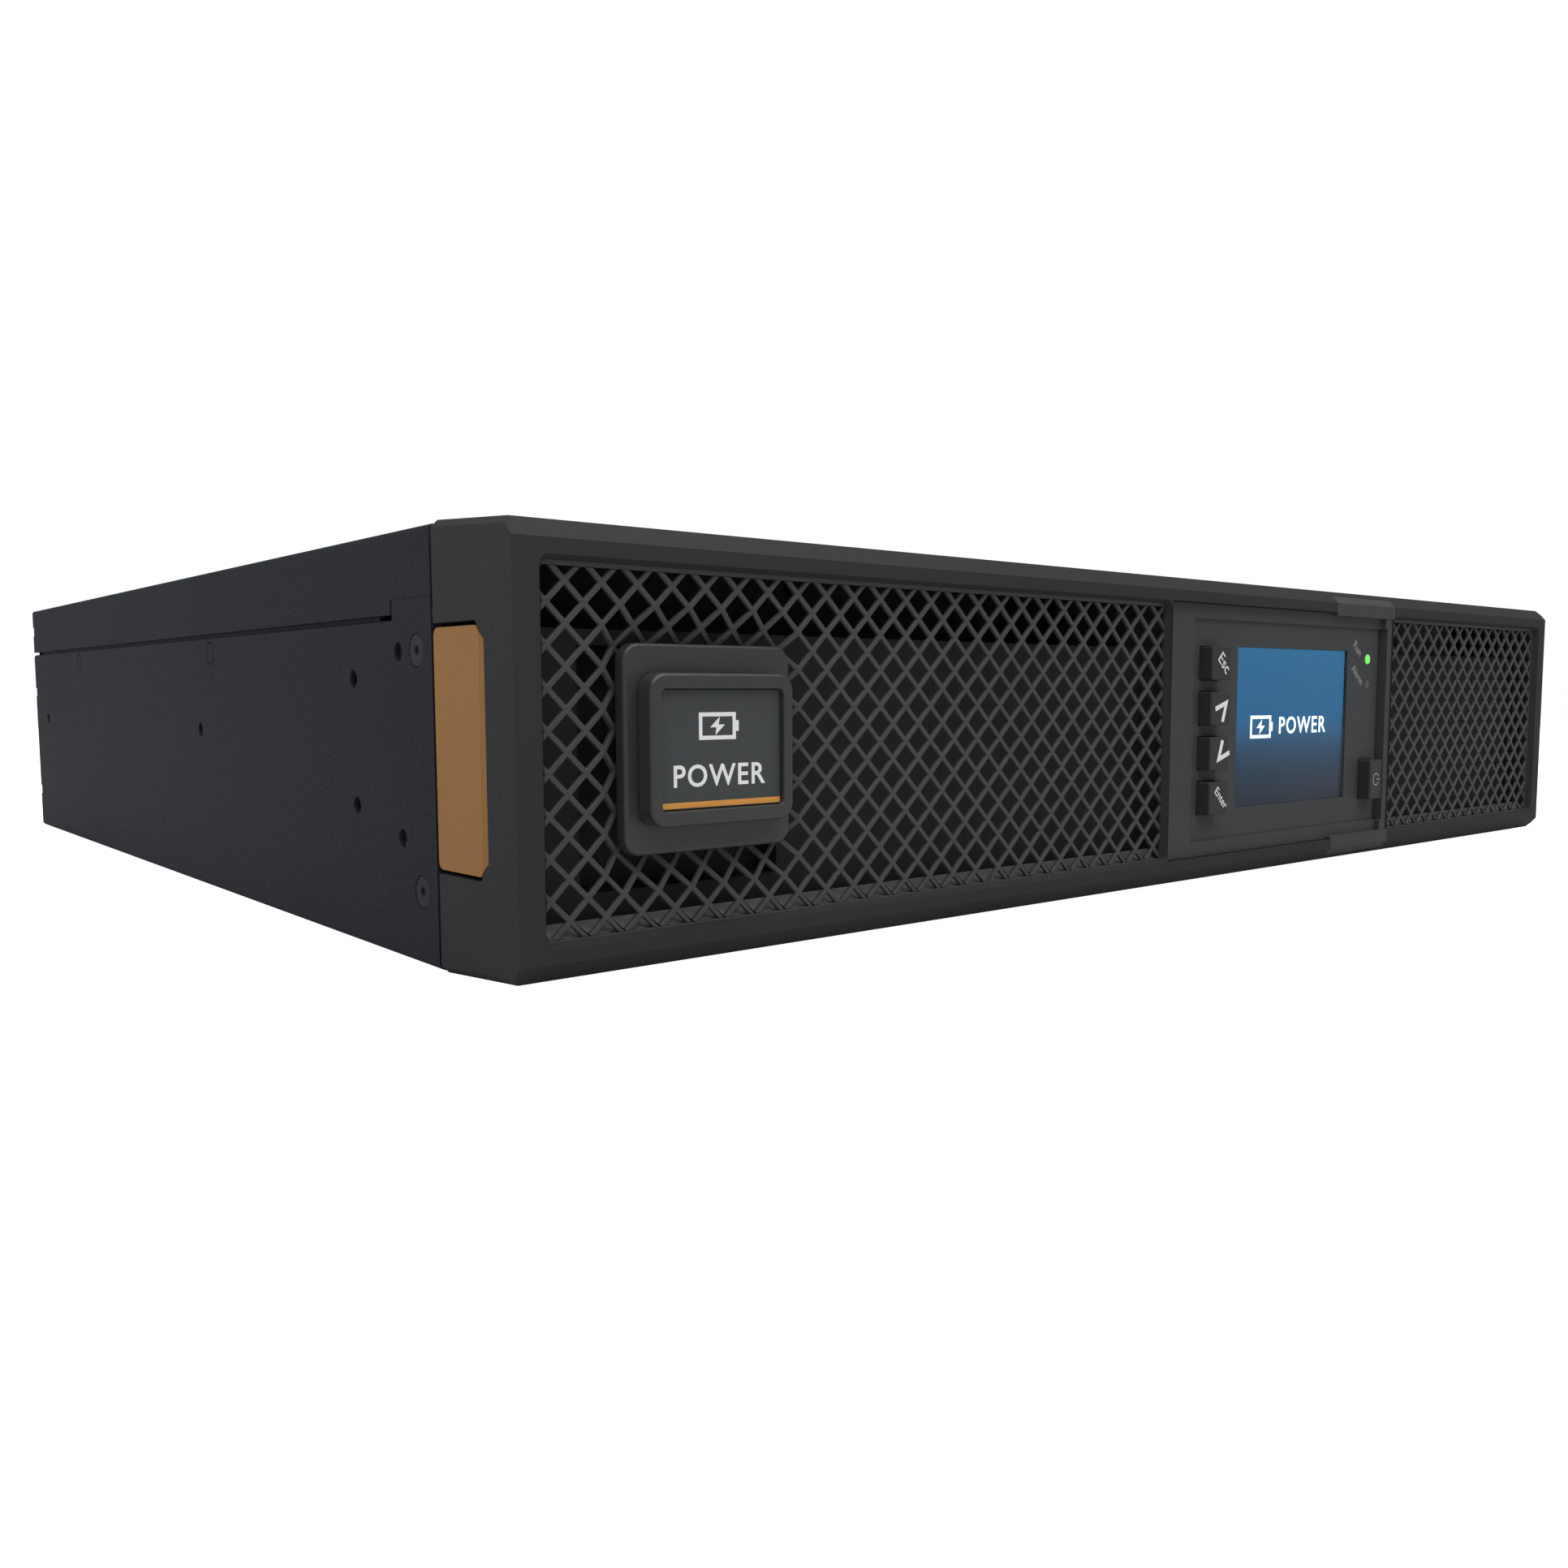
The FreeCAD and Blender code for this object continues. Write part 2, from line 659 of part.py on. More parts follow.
def door_screws():
    """Pan-head screws through the door's top flange into the bulkhead."""
    screws = []
    face = bulkhead_y - sheet - seat_gap
    for x, z in door_screw_places():
        head = rod(2.6, (x, face - 1.6, z), (0, 1, 0), 1.6)
        shank = rod(screw_shank_r - 0.05, (x, face, z), (0, 1, 0), 2 * sheet + 0.3)
        slot = block(around(x, 7), (face - 1.7, face - 1.0), around(z, 0.8))
        screws.append(joined([head, shank]).cut(slot))
    return screws


def intake_baffle():
    """Sheet in front of the power electronics that turns the intake air upwards."""
    face = block(baffle_x, (door_y, door_y + sheet), (door_bottom, baffle_top))
    floor = block(baffle_x, (door_y, bulkhead_y - seat_gap), (door_bottom, door_bottom + sheet))
    return joined([face, floor])


def battery_tray():
    """Open tray that holds the four batteries side by side and end to end."""
    outer = block(tray_x, tray_y, (tray_z, tray_z + tray_wall))
    inner_y = (tray_y[0] + tray_sheet, tray_y[1] - tray_sheet)
    inner = block((tray_x[0] + tray_sheet, tray_x[1] - tray_sheet), inner_y,
                  (battery_z, tray_z + tray_wall + 1))
    return outer.cut(inner)


def battery_corner(column, row):
    """Lower left front corner of one battery."""
    return (battery_x + column * (battery_w + battery_gap),
            battery_front_y + row * (battery_l + battery_gap))


def battery(column, row):
    """Sealed lead-acid battery lying flat, with a raised lid line and two terminal wells."""
    x0, y0 = battery_corner(column, row)
    top = battery_z + battery_h
    case = block((x0, x0 + battery_w), (y0, y0 + battery_l), (battery_z, top))
    case = softened(case, 2.0, lambda e: along_y(e, battery_l - 1))
    groove = block((x0 + battery_w - 7, x0 + battery_w - 6), (y0 - 1, y0 + battery_l + 1),
                   (top - 0.6, top + 1))
    wells = [block((x0 + battery_w - 17, x0 + battery_w - 7), around(y, 14), (top - well_deep, top + 1))
             for y in (y0 + well_inset, y0 + battery_l - well_inset)]
    return case.cut([groove] + wells)


def battery_terminals():
    """Blade terminals, two standing in the wells of each battery."""
    tabs = []
    z0 = battery_z + battery_h - well_deep
    for column in (0, 1):
        for row in (0, 1):
            x0, y0 = battery_corner(column, row)
            for y in (y0 + well_inset, y0 + battery_l - well_inset):
                tabs.append(block(around(x0 + battery_w - 12, 0.8), around(y, 6.3), (z0, z0 + 10)))
    return group(tabs)


def lead(points):
    """Insulated lead along straight runs joined by arcs, each arc as large as its runs allow."""
    corners = [Vector(*p) for p in points]
    edges = []
    start = corners[0]
    for before, corner, after in zip(corners, corners[1:], corners[2:]):
        come = (before - corner).normalize()
        go = (after - corner).normalize()
        turn = math.pi - come.getAngle(go)
        reach = 0.45 * min((before - corner).Length, (after - corner).Length)
        radius = reach / math.tan(turn / 2)
        enter = corner + come * reach
        leave = corner + go * reach
        bisector = (come + go).normalize()
        middle = corner + bisector * (radius / math.cos(turn / 2) - radius)
        edges.append(Part.LineSegment(start, enter).toShape())
        edges.append(Part.Arc(enter, middle, leave).toShape())
        start = leave
    edges.append(Part.LineSegment(start, corners[-1]).toShape())
    path = Part.Wire(edges)
    direction = (corners[1] - corners[0]).normalize()
    section = Part.Wire([Part.makeCircle(lead_r, corners[0], direction)])
    return path.makePipeShell([section], True, False)


def battery_leads():
    """Series jumpers on top of the batteries: one across each row and one along the left column."""
    low = battery_z + battery_h + lead_r + 0.3
    jumpers = []
    for row in (0, 1):
        x0, y0 = battery_corner(0, row)
        y = y0 + well_inset + 6.0
        start = x0 + battery_w - 4.0
        end = x0 + 2 * battery_w + battery_gap - 16.0
        jumpers.append(lead([(start, y, low), (start + 22, y + 5, low + 3),
                             (end - 26, y + 5, low + 3), (end, y, low)]))
    x = battery_x + 20.0
    joint_y = battery_front_y + battery_l
    jumpers.append(lead([(x, joint_y - 30, low), (x + 4, joint_y - 10, low + 2.5),
                         (x + 4, joint_y + 10, low + 2.5), (x, joint_y + 30, low)]))
    return group(jumpers)


def battery_connector():
    """Two-pole quick connector behind the tray, between the pack and the power board."""
    x = (tray_x[1] - connector_w - connector_inset, tray_x[1] - connector_inset)
    y = around(tray_y[1] + 10.0, connector_h)
    z0 = sheet + 0.4
    shell = block(x, y, (z0, z0 + connector_h))
    middle_y = (y[0] + y[1]) / 2
    bores = [rod(3.2, (x[0] - 1, middle_y + dy, z0 + connector_h / 2), (1, 0, 0), 12) for dy in (-4, 4)]
    return shell.cut(bores)


# ================================================================ power electronics
def power_board():
    """Main circuit board of the converter, above the floor beside the batteries."""
    board = block(board_x, board_y, (board_z, board_top))
    holes = [rod(stud_r + seat_gap, (x, y, board_z - 1), (0, 0, 1), board_thick + 2)
             for x, y in standoff_places()]
    return board.cut(holes)


def standoff_places():
    """Three columns of three pillars, clear of the heat sinks."""
    columns = (board_x[0] + pillar_inset, board_x[0] + 108, board_x[1] - pillar_inset)
    rows = (board_y[0] + pillar_inset, (board_y[0] + board_y[1]) / 2 + 4, board_y[1] - pillar_inset)
    return [(x, y) for x in columns for y in rows]


def board_standoffs():
    """Threaded pillars from the floor up through the power board."""
    pillars = []
    for x, y in standoff_places():
        pillar = rod(pillar_r, (x, y, sheet), (0, 0, 1), board_z - sheet)
        stud = rod(stud_r, (x, y, board_z), (0, 0, 1), board_thick + 2.4)
        pillars.append(joined([pillar, stud]))
    return group(pillars)


def heat_sink(from_board_edge, width):
    """Extruded aluminium heat sink: a spine with fins that run along the airflow."""
    x0 = board_x[0] + from_board_edge
    y = (board_y[0] + sink_front_gap, board_y[1] - sink_rear_gap)
    parts = [block((x0, x0 + width), y, (board_top, board_top + sink_spine))]
    fins = int(width / fin_pitch)
    for i in range(fins):
        fin_x = x0 + i * (width - fin_thick) / (fins - 1)
        parts.append(block((fin_x, fin_x + fin_thick), y, (board_top + sink_spine - 1, board_top + sink_h)))
    return joined(parts)


def bus_capacitors():
    """Snap-in electrolytic capacitors in a row, each with a pressed vent cross."""
    cans = []
    x = board_x[0] + 122
    for i in range(capacitor_count):
        y = board_y[0] + 34 + i * capacitor_pitch
        can = rod(capacitor_r, (x, y, board_top), (0, 0, 1), capacitor_h)
        depth = (board_top + capacitor_h - 0.5, board_top + capacitor_h + 1)
        cross = [block(around(x, capacitor_r), around(y, 0.8), depth),
                 block(around(x, 0.8), around(y, capacitor_r), depth)]
        cans.append(can.cut(cross))
    return group(cans)


def power_inductors():
    """Toroidal chokes that stand on edge."""
    rings = []
    for i in range(choke_count):
        centre = Vector(board_x[0] + 24, board_y[0] + 50 + i * choke_pitch,
                        board_top + choke_r + choke_section_r + 0.5)
        rings.append(Part.makeTorus(choke_r, choke_section_r, centre, Vector(1, 0, 0)))
    return group(rings)


def transformer():
    """Ferrite transformer: a core with the winding around its middle."""
    x0 = board_x[0] + 10
    y0 = board_y[1] - 110
    wide, long, high = core_size
    core = block((x0, x0 + wide), (y0, y0 + long), (board_top, board_top + high))
    winding = block((x0 - winding_past_core, x0 + wide + winding_past_core),
                    (y0 + 8, y0 + long - 8), (board_top + 6, board_top + high - 6))
    return joined([core, softened(winding, 4.0, lambda e: along_y(e, 20))])


def relays():
    """Row of sealed relays near the output sockets."""
    x0 = board_x[0] + 10
    wide, long, high = relay_size
    cubes = []
    for i in range(relay_count):
        y = board_y[1] - 62 + i * relay_pitch
        cubes.append(block((x0, x0 + wide), (y, y + long), (board_top, board_top + high)))
    return group(cubes)


def control_board_x():
    """The control board stands between the battery tray and the power board."""
    return (board_x[0] - 4.0, board_x[0] - 4.0 + board_thick)


def control_board():
    """Upright processor board along the inner side of the battery bay."""
    return block(control_board_x(), (board_y[0] + 10, board_y[1] - 60),
                 (board_z + 5, board_z + 5 + control_board_h))


def control_headers():
    """Pin headers and the processor on the control board."""
    x0 = control_board_x()[1]
    processor_y = (board_y[0] + 80, board_y[0] + 80 + processor_w)
    chips = [block((x0, x0 + 1.6), processor_y, (board_z + 35, board_z + 35 + processor_w))]
    out, long, high = header_size
    for along in (20, 120, 180):
        chips.append(block((x0, x0 + out), around(board_y[0] + along, long),
                           (board_z + 57, board_z + 57 + high)))
    return group(chips)


# ================================================================ rear fittings
def socket_outline(x, z, y, shrink):
    """Six-sided outline of an appliance coupler, with its two upper corners cut."""
    hx = cavity_half[0] - shrink
    hz = cavity_half[1] - shrink
    c = cavity_corner
    points = [(-hx, -hz), (hx, -hz), (hx, hz - c), (hx - c, hz), (-hx + c, hz), (-hx, hz - c)]
    return [(x + px, y, z + pz) for px, pz in points]


def socket(x, z, has_pins):
    """Appliance coupler: a male inlet with three pins, or a female outlet with a core in a moat."""
    face = panel_face_y
    outside = face + flange_out
    body = block(around(x, socket_w), (face - cavity_deep - 4, face), around(z, socket_h))
    flange = block(around(x, socket_w + 2 * socket_flange), (face, outside),
                   around(z, socket_h + 2 * socket_flange))
    shell = joined([body, flange]).cut(prism(socket_outline(x, z, outside, 0), (0, -cavity_deep, 0)))
    if has_pins:
        pin_y = (outside - cavity_deep - 1, outside - pin_recess)
        pins = [block(around(x + px, pin_w), pin_y, around(z + pz, pin_h)) for px, pz in pin_places]
        return joined([shell] + pins)
    core = prism(socket_outline(x, z, outside - 0.4, moat), (0, -cavity_deep, 0))
    slots = [block(around(x + px, pin_w + 2 * pin_slot_gap), (outside - pin_slot_deep, outside),
                   around(z + pz, pin_h + 2 * pin_slot_gap)) for px, pz in pin_places]
    return joined([shell, core]).cut(slots)


def outlet_sockets():
    return group([socket(x, z, False) for x in outlet_x for z in outlet_z])


def breaker_body():
    """Resettable breaker: threaded neck through the panel, with a nut outside."""
    face = panel_face_y
    body = block(around(breaker_x, breaker_w), (face - breaker_deep, face - sheet),
                 around(breaker_z, breaker_h))
    neck = rod(breaker_neck_r, (breaker_x, face - sheet, breaker_z), (0, 1, 0), sheet + 1.9)
    bore = rod(breaker_button_r + seat_gap, (breaker_x, face - 12, breaker_z), (0, 1, 0), 20)
    return joined([body, neck]).cut(bore)


def breaker_nut():
    face = panel_face_y
    turns = [math.radians(a) for a in range(0, 360, 60)]
    points = [(breaker_x + breaker_nut_r * math.cos(a), face, breaker_z + breaker_nut_r * math.sin(a))
              for a in turns]
    bore = rod(breaker_neck_r + 0.05, (breaker_x, face - 1, breaker_z), (0, 1, 0), 4)
    return prism(points, (0, 1.5, 0)).cut(bore)


def breaker_button():
    """Reset plunger with a domed end; it moves inwards in the breaker's neck."""
    face = panel_face_y
    inside = 9.8
    plunger = rod(breaker_button_r, (breaker_x, face - inside, breaker_z), (0, 1, 0), inside + button_rise)
    return softened(plunger, 0.8, lambda e: e.BoundBox.YMin > face + 1)


def port_shell(x, size, depth, mouth_size, tongue):
    """Port with an open mouth and a contact tongue, given as its width, height, rise and recess."""
    face = panel_face_y
    outer = block(around(x, size[0]), (face - depth, face + 0.6), around(port_z, size[1]))
    mouth = block(around(x, mouth_size[0]), (face - depth + 2, face + 1), around(port_z, mouth_size[1]))
    shell = outer.cut(mouth)
    wide, high, up, recess = tongue
    blade = block(around(x, wide), (face - depth + 1, face - recess), around(port_z + up, high))
    return joined([shell, blade])


def usb_port():
    return port_shell(usb_x, usb_size, 16.0, (8.6, 7.8), (5.4, 3.0, 0, 5.0))


def network_port():
    return port_shell(network_x, network_size, 18.0, (12.0, 8.6), (9.0, 1.4, 3.0, 2.0))


def terminal_block():
    """Six-way dry-contact terminal block."""
    face = panel_face_y
    body = block(around(terminal_x, terminal_size[0]), (face - 14, face + 0.8),
                 around(port_z, terminal_size[1]))
    ways = [rod(0.8, (terminal_x - 6 + i * 2.4, face - 6, port_z - 1.5), (0, 1, 0), 8) for i in range(6)]
    return body.cut(ways)


def slot_screw_places():
    z = (slot_z[0] + slot_z[1]) / 2
    return [(slot_x[0] + 0.2, z), (slot_x[1] - 0.2, z)]


def card_slot_cover():
    """Blank plate over the communication card slot, with two ears."""
    face = panel_face_y
    plate = block((slot_x[0] - card_ear, slot_x[1] + card_ear), (face, face + 1.0), slot_z)
    plate = softened(plate, 1.5, lambda e: along_y(e, 0.9))
    holes = [rod(1.6, (x, face - 1, z), (0, 1, 0), 3) for x, z in slot_screw_places()]
    return plate.cut(holes)


def panel_screw(x, z, head_r, length):
    """Pan-head screw on the rear panel's outside plate."""
    face = panel_face_y + 1.0
    head = rod(head_r, (x, face, z), (0, 1, 0), 1.2)
    shank = rod(1.5, (x, face - length, z), (0, 1, 0), length)
    slots = [block(around(x, 3.2), (face + 0.6, face + 2), around(z, 0.7)),
             block(around(x, 0.7), (face + 0.6, face + 2), around(z, 3.2))]
    return joined([head, shank]).cut(slots)


def card_slot_screws():
    return [panel_screw(x, z, 2.8, 1.0) for x, z in slot_screw_places()]


def external_battery_port():
    """Two-pole socket for an external battery cabinet."""
    face = panel_face_y
    z = battery_port_z
    wide, high = battery_port_size
    shell = block(around(battery_port_x, wide), (face - 24, face + 1.2), around(z, high))
    poles = (battery_port_x - 7.5, battery_port_x + 7.5)
    mouths = [block(around(x, 12.0), (face - 18, face + 2), around(z, 12.0)) for x in poles]
    blades = [block(around(x, 2.0), (face - 20, face - 6), around(z, 9.0)) for x in poles]
    return joined([shell.cut(mouths)] + blades)


def ground_screw():
    """Bonding screw below the external battery socket."""
    face = panel_face_y
    head = rod(4.0, (battery_port_x, face, ground_screw_z), (0, 1, 0), 2.2)
    slot = block(around(battery_port_x, 9.0), (face + 1.2, face + 3), around(ground_screw_z, 1.0))
    return head.cut(slot)


def fan_frame(x):
    """Square fan housing behind the rear panel, with its motor boss on four struts."""
    y = (rear_panel_y - 0.1 - fan_depth, rear_panel_y - 0.1)
    frame = block(around(x, fan_size), y, around(mid_z, fan_size))
    frame = softened(frame, fan_corner, lambda e: along_y(e, fan_depth - 1))
    frame = frame.cut(rod(fan_bore_r, (x, y[0] - 1, mid_z), (0, 1, 0), fan_depth + 2))
    boss = rod(fan_hub_r, (x, y[0], mid_z), (0, 1, 0), fan_boss_deep)
    parts = [frame, boss]
    reach = fan_bore_r + 1.0
    for a in (0, 90, 180, 270):
        strut = block((0, reach), (y[0], y[0] + strut_w), around(0, strut_w))
        strut.rotate(Vector(0, 0, 0), Vector(0, 1, 0), a + 45)
        strut.translate(Vector(x, 0, mid_z))
        parts.append(strut)
    body = joined(parts)
    cuts = [rod(fan_pin_r + running, (x, y[0] - 1, mid_z), (0, 1, 0), fan_boss_deep + 2)]
    for hx, hz in fan_hole_places(x):
        cuts.append(rod(fan_hole_r, (hx, y[0] - 1, hz), (0, 1, 0), fan_depth + 2))
    return body.cut(cuts)


def fan_rotor(x):
    """Hub with its shaft and twisted blades, clear of the housing all round."""
    start = fan_boss_deep + rotor_front_gap
    y0 = rear_panel_y - 0.1 - fan_depth + start
    depth = fan_depth - start - rotor_rear_gap
    hub = rod(fan_hub_r, (x, y0, mid_z), (0, 1, 0), depth)
    shaft = rod(fan_pin_r, (x, y0 - fan_boss_deep, mid_z), (0, 1, 0), fan_boss_deep + 1.0)
    parts = [hub, shaft]
    lean = math.tan(math.radians(blade_lean)) * depth / 2
    for i in range(blade_count):
        y = y0 + 1.0
        run = depth - 2.0
        inner = fan_hub_r - 1.0
        outline = [(inner, y, -lean), (inner, y, blade_thick - lean),
                   (inner, y + run, blade_thick + lean), (inner, y + run, lean)]
        blade = prism(outline, (fan_blade_r - inner - 0.9, 0, 0))
        blade = blade.common(rod(fan_blade_r, (0, y0, 0), (0, 1, 0), depth))
        blade.rotate(Vector(0, 0, 0), Vector(0, 1, 0), i * 360.0 / blade_count)
        blade.translate(Vector(x, 0, mid_z))
        parts.append(blade)
    return joined(parts)


def fan_guard(x):
    """Wire finger guard: rings on two crossing wires, with a screw eye at each corner."""
    y = panel_face_y + guard_wire / 2 + 0.02
    rings = [Part.makeTorus(r, guard_wire / 2, Vector(x, y, mid_z), Vector(0, 1, 0)) for r in guard_rings]
    spokes = []
    for a in (45, 135):
        reach = fan_hole * math.sqrt(2) - guard_eye_r + 1.0
        spoke = block((-reach, reach), around(0, guard_spoke), around(0, guard_spoke))
        spoke.rotate(Vector(0, 0, 0), Vector(0, 1, 0), a)
        spoke.translate(Vector(x, y, mid_z))
        spokes.append(spoke)
    eyes = []
    for hx, hz in fan_hole_places(x):
        eye = rod(guard_eye_r, (hx, y - guard_wire / 2, hz), (0, 1, 0), guard_wire)
        eyes.append(eye.cut(rod(fan_hole_r - 0.3, (hx, y - 1, hz), (0, 1, 0), 3)))
    return joined(rings + spokes + eyes)


def fan_screws():
    """Self-tapping screws through the guard eyes into the fan housings."""
    screws = []
    face = panel_face_y + guard_wire + 0.04
    for x in fan_x:
        for hx, hz in fan_hole_places(x):
            head = Part.makeCone(3.4, 2.4, rear_y - face - 0.05, Vector(hx, face, hz), Vector(0, 1, 0))
            shank = rod(1.7, (hx, face - 10, hz), (0, 1, 0), 10)
            screws.append(joined([head, shank]))
    return screws


# ================================================================ bezel
def bezel_outside():
    """Outer form of the bezel: tapered to the front, with bevelled front and side edges."""
    top_back = bezel_height
    top_front = bezel_height - bezel_taper_z
    bottom_front = bezel_foot + bezel_taper_z
    profile = [
        (bezel_back_y, bezel_foot),
        (bezel_back_y, top_back),
        (front_y + front_bevel_y, top_front),
        (front_y, top_front - front_bevel_z),
        (front_y, bottom_front + front_bevel_z),
        (front_y + front_bevel_y, bottom_front),
    ]
    half = bezel_width / 2
    solid = prism([(-half, y, z) for y, z in profile], (bezel_width, 0, 0))
    for side in (-1, 1):
        wedge = prism([(half - bezel_taper_x, front_y, -1), (half, bezel_back_y, -1),
                       (half + 5, bezel_back_y, -1), (half + 5, front_y, -1)], (0, 0, bezel_height + 2))
        solid = solid.cut(wedge if side > 0 else mirrored(wedge))

    def side_edge(edge):
        return along_y(edge, bezel_depth - front_bevel_y - 1) and abs(edge.Vertexes[0].X) > half - 3
    return solid.makeChamfer(side_bevel, edges_where(solid, side_edge))


def bezel_inside():
    """Hollow of the bezel behind its face."""
    half = bezel_width / 2 - bezel_taper_x - bezel_wall
    return block((-half, half), (front_y + lip, bezel_back_y + 1),
                 (bezel_foot + bezel_taper_z + bezel_wall, bezel_height - bezel_taper_z - bezel_wall))


def face_window(x):
    """Drafted window through the bezel's face, as a solid."""
    return drafted_block(x, (front_y - 0.01, front_y + lip + 0.01), (window_bottom, window_top),
                         window_r, lip_draft)


def lug_space(gap):
    """Slots through the bezel's top and bottom lips for the display housing's lugs."""
    x = (right_window[0] - lug_w - gap, right_window[0])
    upper = block(x, (front_y - 1, front_y + lug_thick + gap), (window_top - 0.1, bezel_height + 1))
    lower = block(x, (front_y - 1, front_y + lug_thick + gap), (-1, window_bottom + 0.1))
    return [upper, lower]


def latch_outline(gap):
    """Side outline of a latch pad as (y, z) points: chamfered at the front corners."""
    y1 = latch_back_y + gap
    y0 = latch_front_y - gap / 2
    z0 = latch_z[0] - gap
    z1 = latch_z[1] + gap
    return [(y1, z0), (y1, z1), (y0 + latch_chamfer_y, z1), (y0, z1 - latch_chamfer_z),
            (y0, z0 + latch_chamfer_z), (y0 + latch_chamfer_y, z0)]


def bezel_frame():
    """Moulded bezel: windows, hollow sides, latch cut-outs and a skirt that locates in the case."""
    shell = bezel_outside().cut(bezel_inside())
    half = inner_x - seat_gap - sheet - 0.5
    z = (sheet + skirt_drop, roof_z - skirt_drop)
    skirt_y = (bezel_back_y - 4, case_front_y + skirt_reach)
    hollow = block((-half + skirt_wall, half - skirt_wall), (skirt_y[0] - 1, skirt_y[1] + 1),
                   (z[0] + skirt_wall, z[1] - skirt_wall))
    skirt = block((-half, half), skirt_y, z).cut(hollow)
    web = block((-half - 2, half + 2), (skirt_y[0], bezel_back_y), (2.0, bezel_height - skirt_drop))
    web = web.cut(hollow)
    reach = latch_thick + latch_travel + 1.3
    pocket_x = (bezel_width / 2 - reach - pocket_wall, bezel_width / 2 - reach)
    wall = block(pocket_x, (mesh_y + mesh_thick + fit, bezel_back_y), (0, bezel_height))
    wall = wall.common(bezel_outside())
    shell = joined([shell, skirt, web, wall, mirrored(wall)])
    cuts = [face_window(left_window), face_window(right_window)]
    cuts.append(block((left_window[1] + lip_draft, right_window[0] - lip_draft),
                      (front_y - 1, front_y + lip + 1), (window_bottom - lip_draft, window_top + lip_draft)))
    cuts += lug_space(seat_gap)
    half = bezel_width / 2
    for side in (-1, 1):
        points = [(half + 1, y, z) for y, z in latch_outline(latch_gap)]
        hole = prism(points, (-reach - 1, 0, 0))
        behind = block((half - reach, half + 1), (bezel_back_y - 1.2, bezel_back_y + skirt_reach + 4),
                       (latch_z[0] - latch_gap, latch_z[1] + latch_gap))
        hole = joined([hole, behind])
        cuts.append(hole if side > 0 else mirrored(hole))
    return shell.cut(cuts)


# ---------------------------------------------------------------- mesh
def clipped(points, x, z):
    """A convex (x, z) outline cut to a rectangle, point by point round each side."""
    def cut(outline, inside, cross):
        kept = []
        for a, b in zip(outline, outline[1:] + outline[:1]):
            if inside(a):
                kept.append(a)
            if inside(a) != inside(b):
                kept.append(cross(a, b))
        return kept

    def crossing(axis, value):
        def at(a, b):
            t = (value - a[axis]) / (b[axis] - a[axis])
            return tuple(a[i] + t * (b[i] - a[i]) for i in (0, 1))
        return at

    outline = points
    limits = ((0, x[0], True), (0, x[1], False), (1, z[0], True), (1, z[1], False))
    for axis, value, keep_above in limits:
        if not outline:
            return outline
        inside = lambda p, a=axis, v=value, k=keep_above: (p[a] > v) == k
        outline = cut(outline, inside, crossing(axis, value))
    return outline


def outline_area(points):
    pairs = zip(points, points[1:] + points[:1])
    return abs(sum(a[0] * b[1] - b[0] * a[1] for a, b in pairs)) / 2


def beside(points, well_x, well_z):
    """The largest part of an outline that lies wholly to one side of a rectangular well."""
    far = 2 * bezel_width
    anywhere = (-far, far)
    sides = [clipped(points, (-far, well_x[0]), anywhere), clipped(points, (well_x[1], far), anywhere),
             clipped(points, anywhere, (-far, well_z[0])), clipped(points, anywhere, (well_z[1], far))]
    return max(sides, key=lambda outline: outline_area(outline) if outline else 0)


def diamond_holes(x, z):
    """Outlines of the diamond holes of the mesh that lie within a rectangle."""
    half = pitch / 2 - strand / math.sqrt(2)
    columns = range(int(math.floor((x[0] - badge_x) / pitch * 2)) - 1,
                    int(math.ceil((x[1] - badge_x) / pitch * 2)) + 2)
    rows = range(int(math.floor((z[0] - mid_z) / pitch * 2)) - 1,
                 int(math.ceil((z[1] - mid_z) / pitch * 2)) + 2)
    holes = []
    for i in columns:
        for k in rows:
            if (i + k) % 2 == 0:
                continue
            cx = badge_x + i * pitch / 2
            cz = mid_z + k * pitch / 2
            diamond = [(cx - half, cz), (cx, cz + half), (cx + half, cz), (cx, cz - half)]
            outline = clipped(diamond, x, z)
            if len(outline) > 2 and outline_area(outline) > least_hole:
                holes.append(outline)
    return holes


def rectangle(x, z):
    """Corners of an upright rectangle as (x, z) points."""
    return [(x[0], z[0]), (x[1], z[0]), (x[1], z[1]), (x[0], z[1])]


def mesh_sheet(x, z, rims, well=None):
    """Flat mesh: diamond holes inside plain margins (left, right, down, up), and an optional well."""
    hole_x = (x[0] + rims[0], x[1] - rims[1])
    hole_z = (z[0] + rims[2], z[1] - rims[3])
    outlines = diamond_holes(hole_x, hole_z)
    if well:
        well_x, well_z = well
        edge_x = (well_x[0] - well_edge, well_x[1] + well_edge)
        edge_z = (well_z[0] - well_edge, well_z[1] + well_edge)
        outlines = [beside(outline, edge_x, edge_z) for outline in outlines]
        outlines = [outline for outline in outlines if outline and outline_area(outline) > least_hole]
        outlines.append(rectangle(well_x, well_z))
    outlines.append(rectangle(x, z))
    wires = []
    for outline in outlines:
        points = [Vector(px, mesh_y, pz) for px, pz in outline]
        wires.append(Part.makePolygon(points + points[:1]))
    return Part.Face(wires, "Part::FaceMakerBullseye").extrude(Vector(0, mesh_thick, 0))


def funnel(start_y, wide, narrow):
    """Solid that narrows from one (x, z) rectangle to another over the depth of the well."""
    wires = []
    for y, (x, z) in ((start_y, wide), (start_y + dip_depth, narrow)):
        points = [Vector(px, y, pz) for px, pz in rectangle(x, z)]
        wires.append(Part.makePolygon(points + points[:1]))
    return Part.makeLoft(wires, True, True)


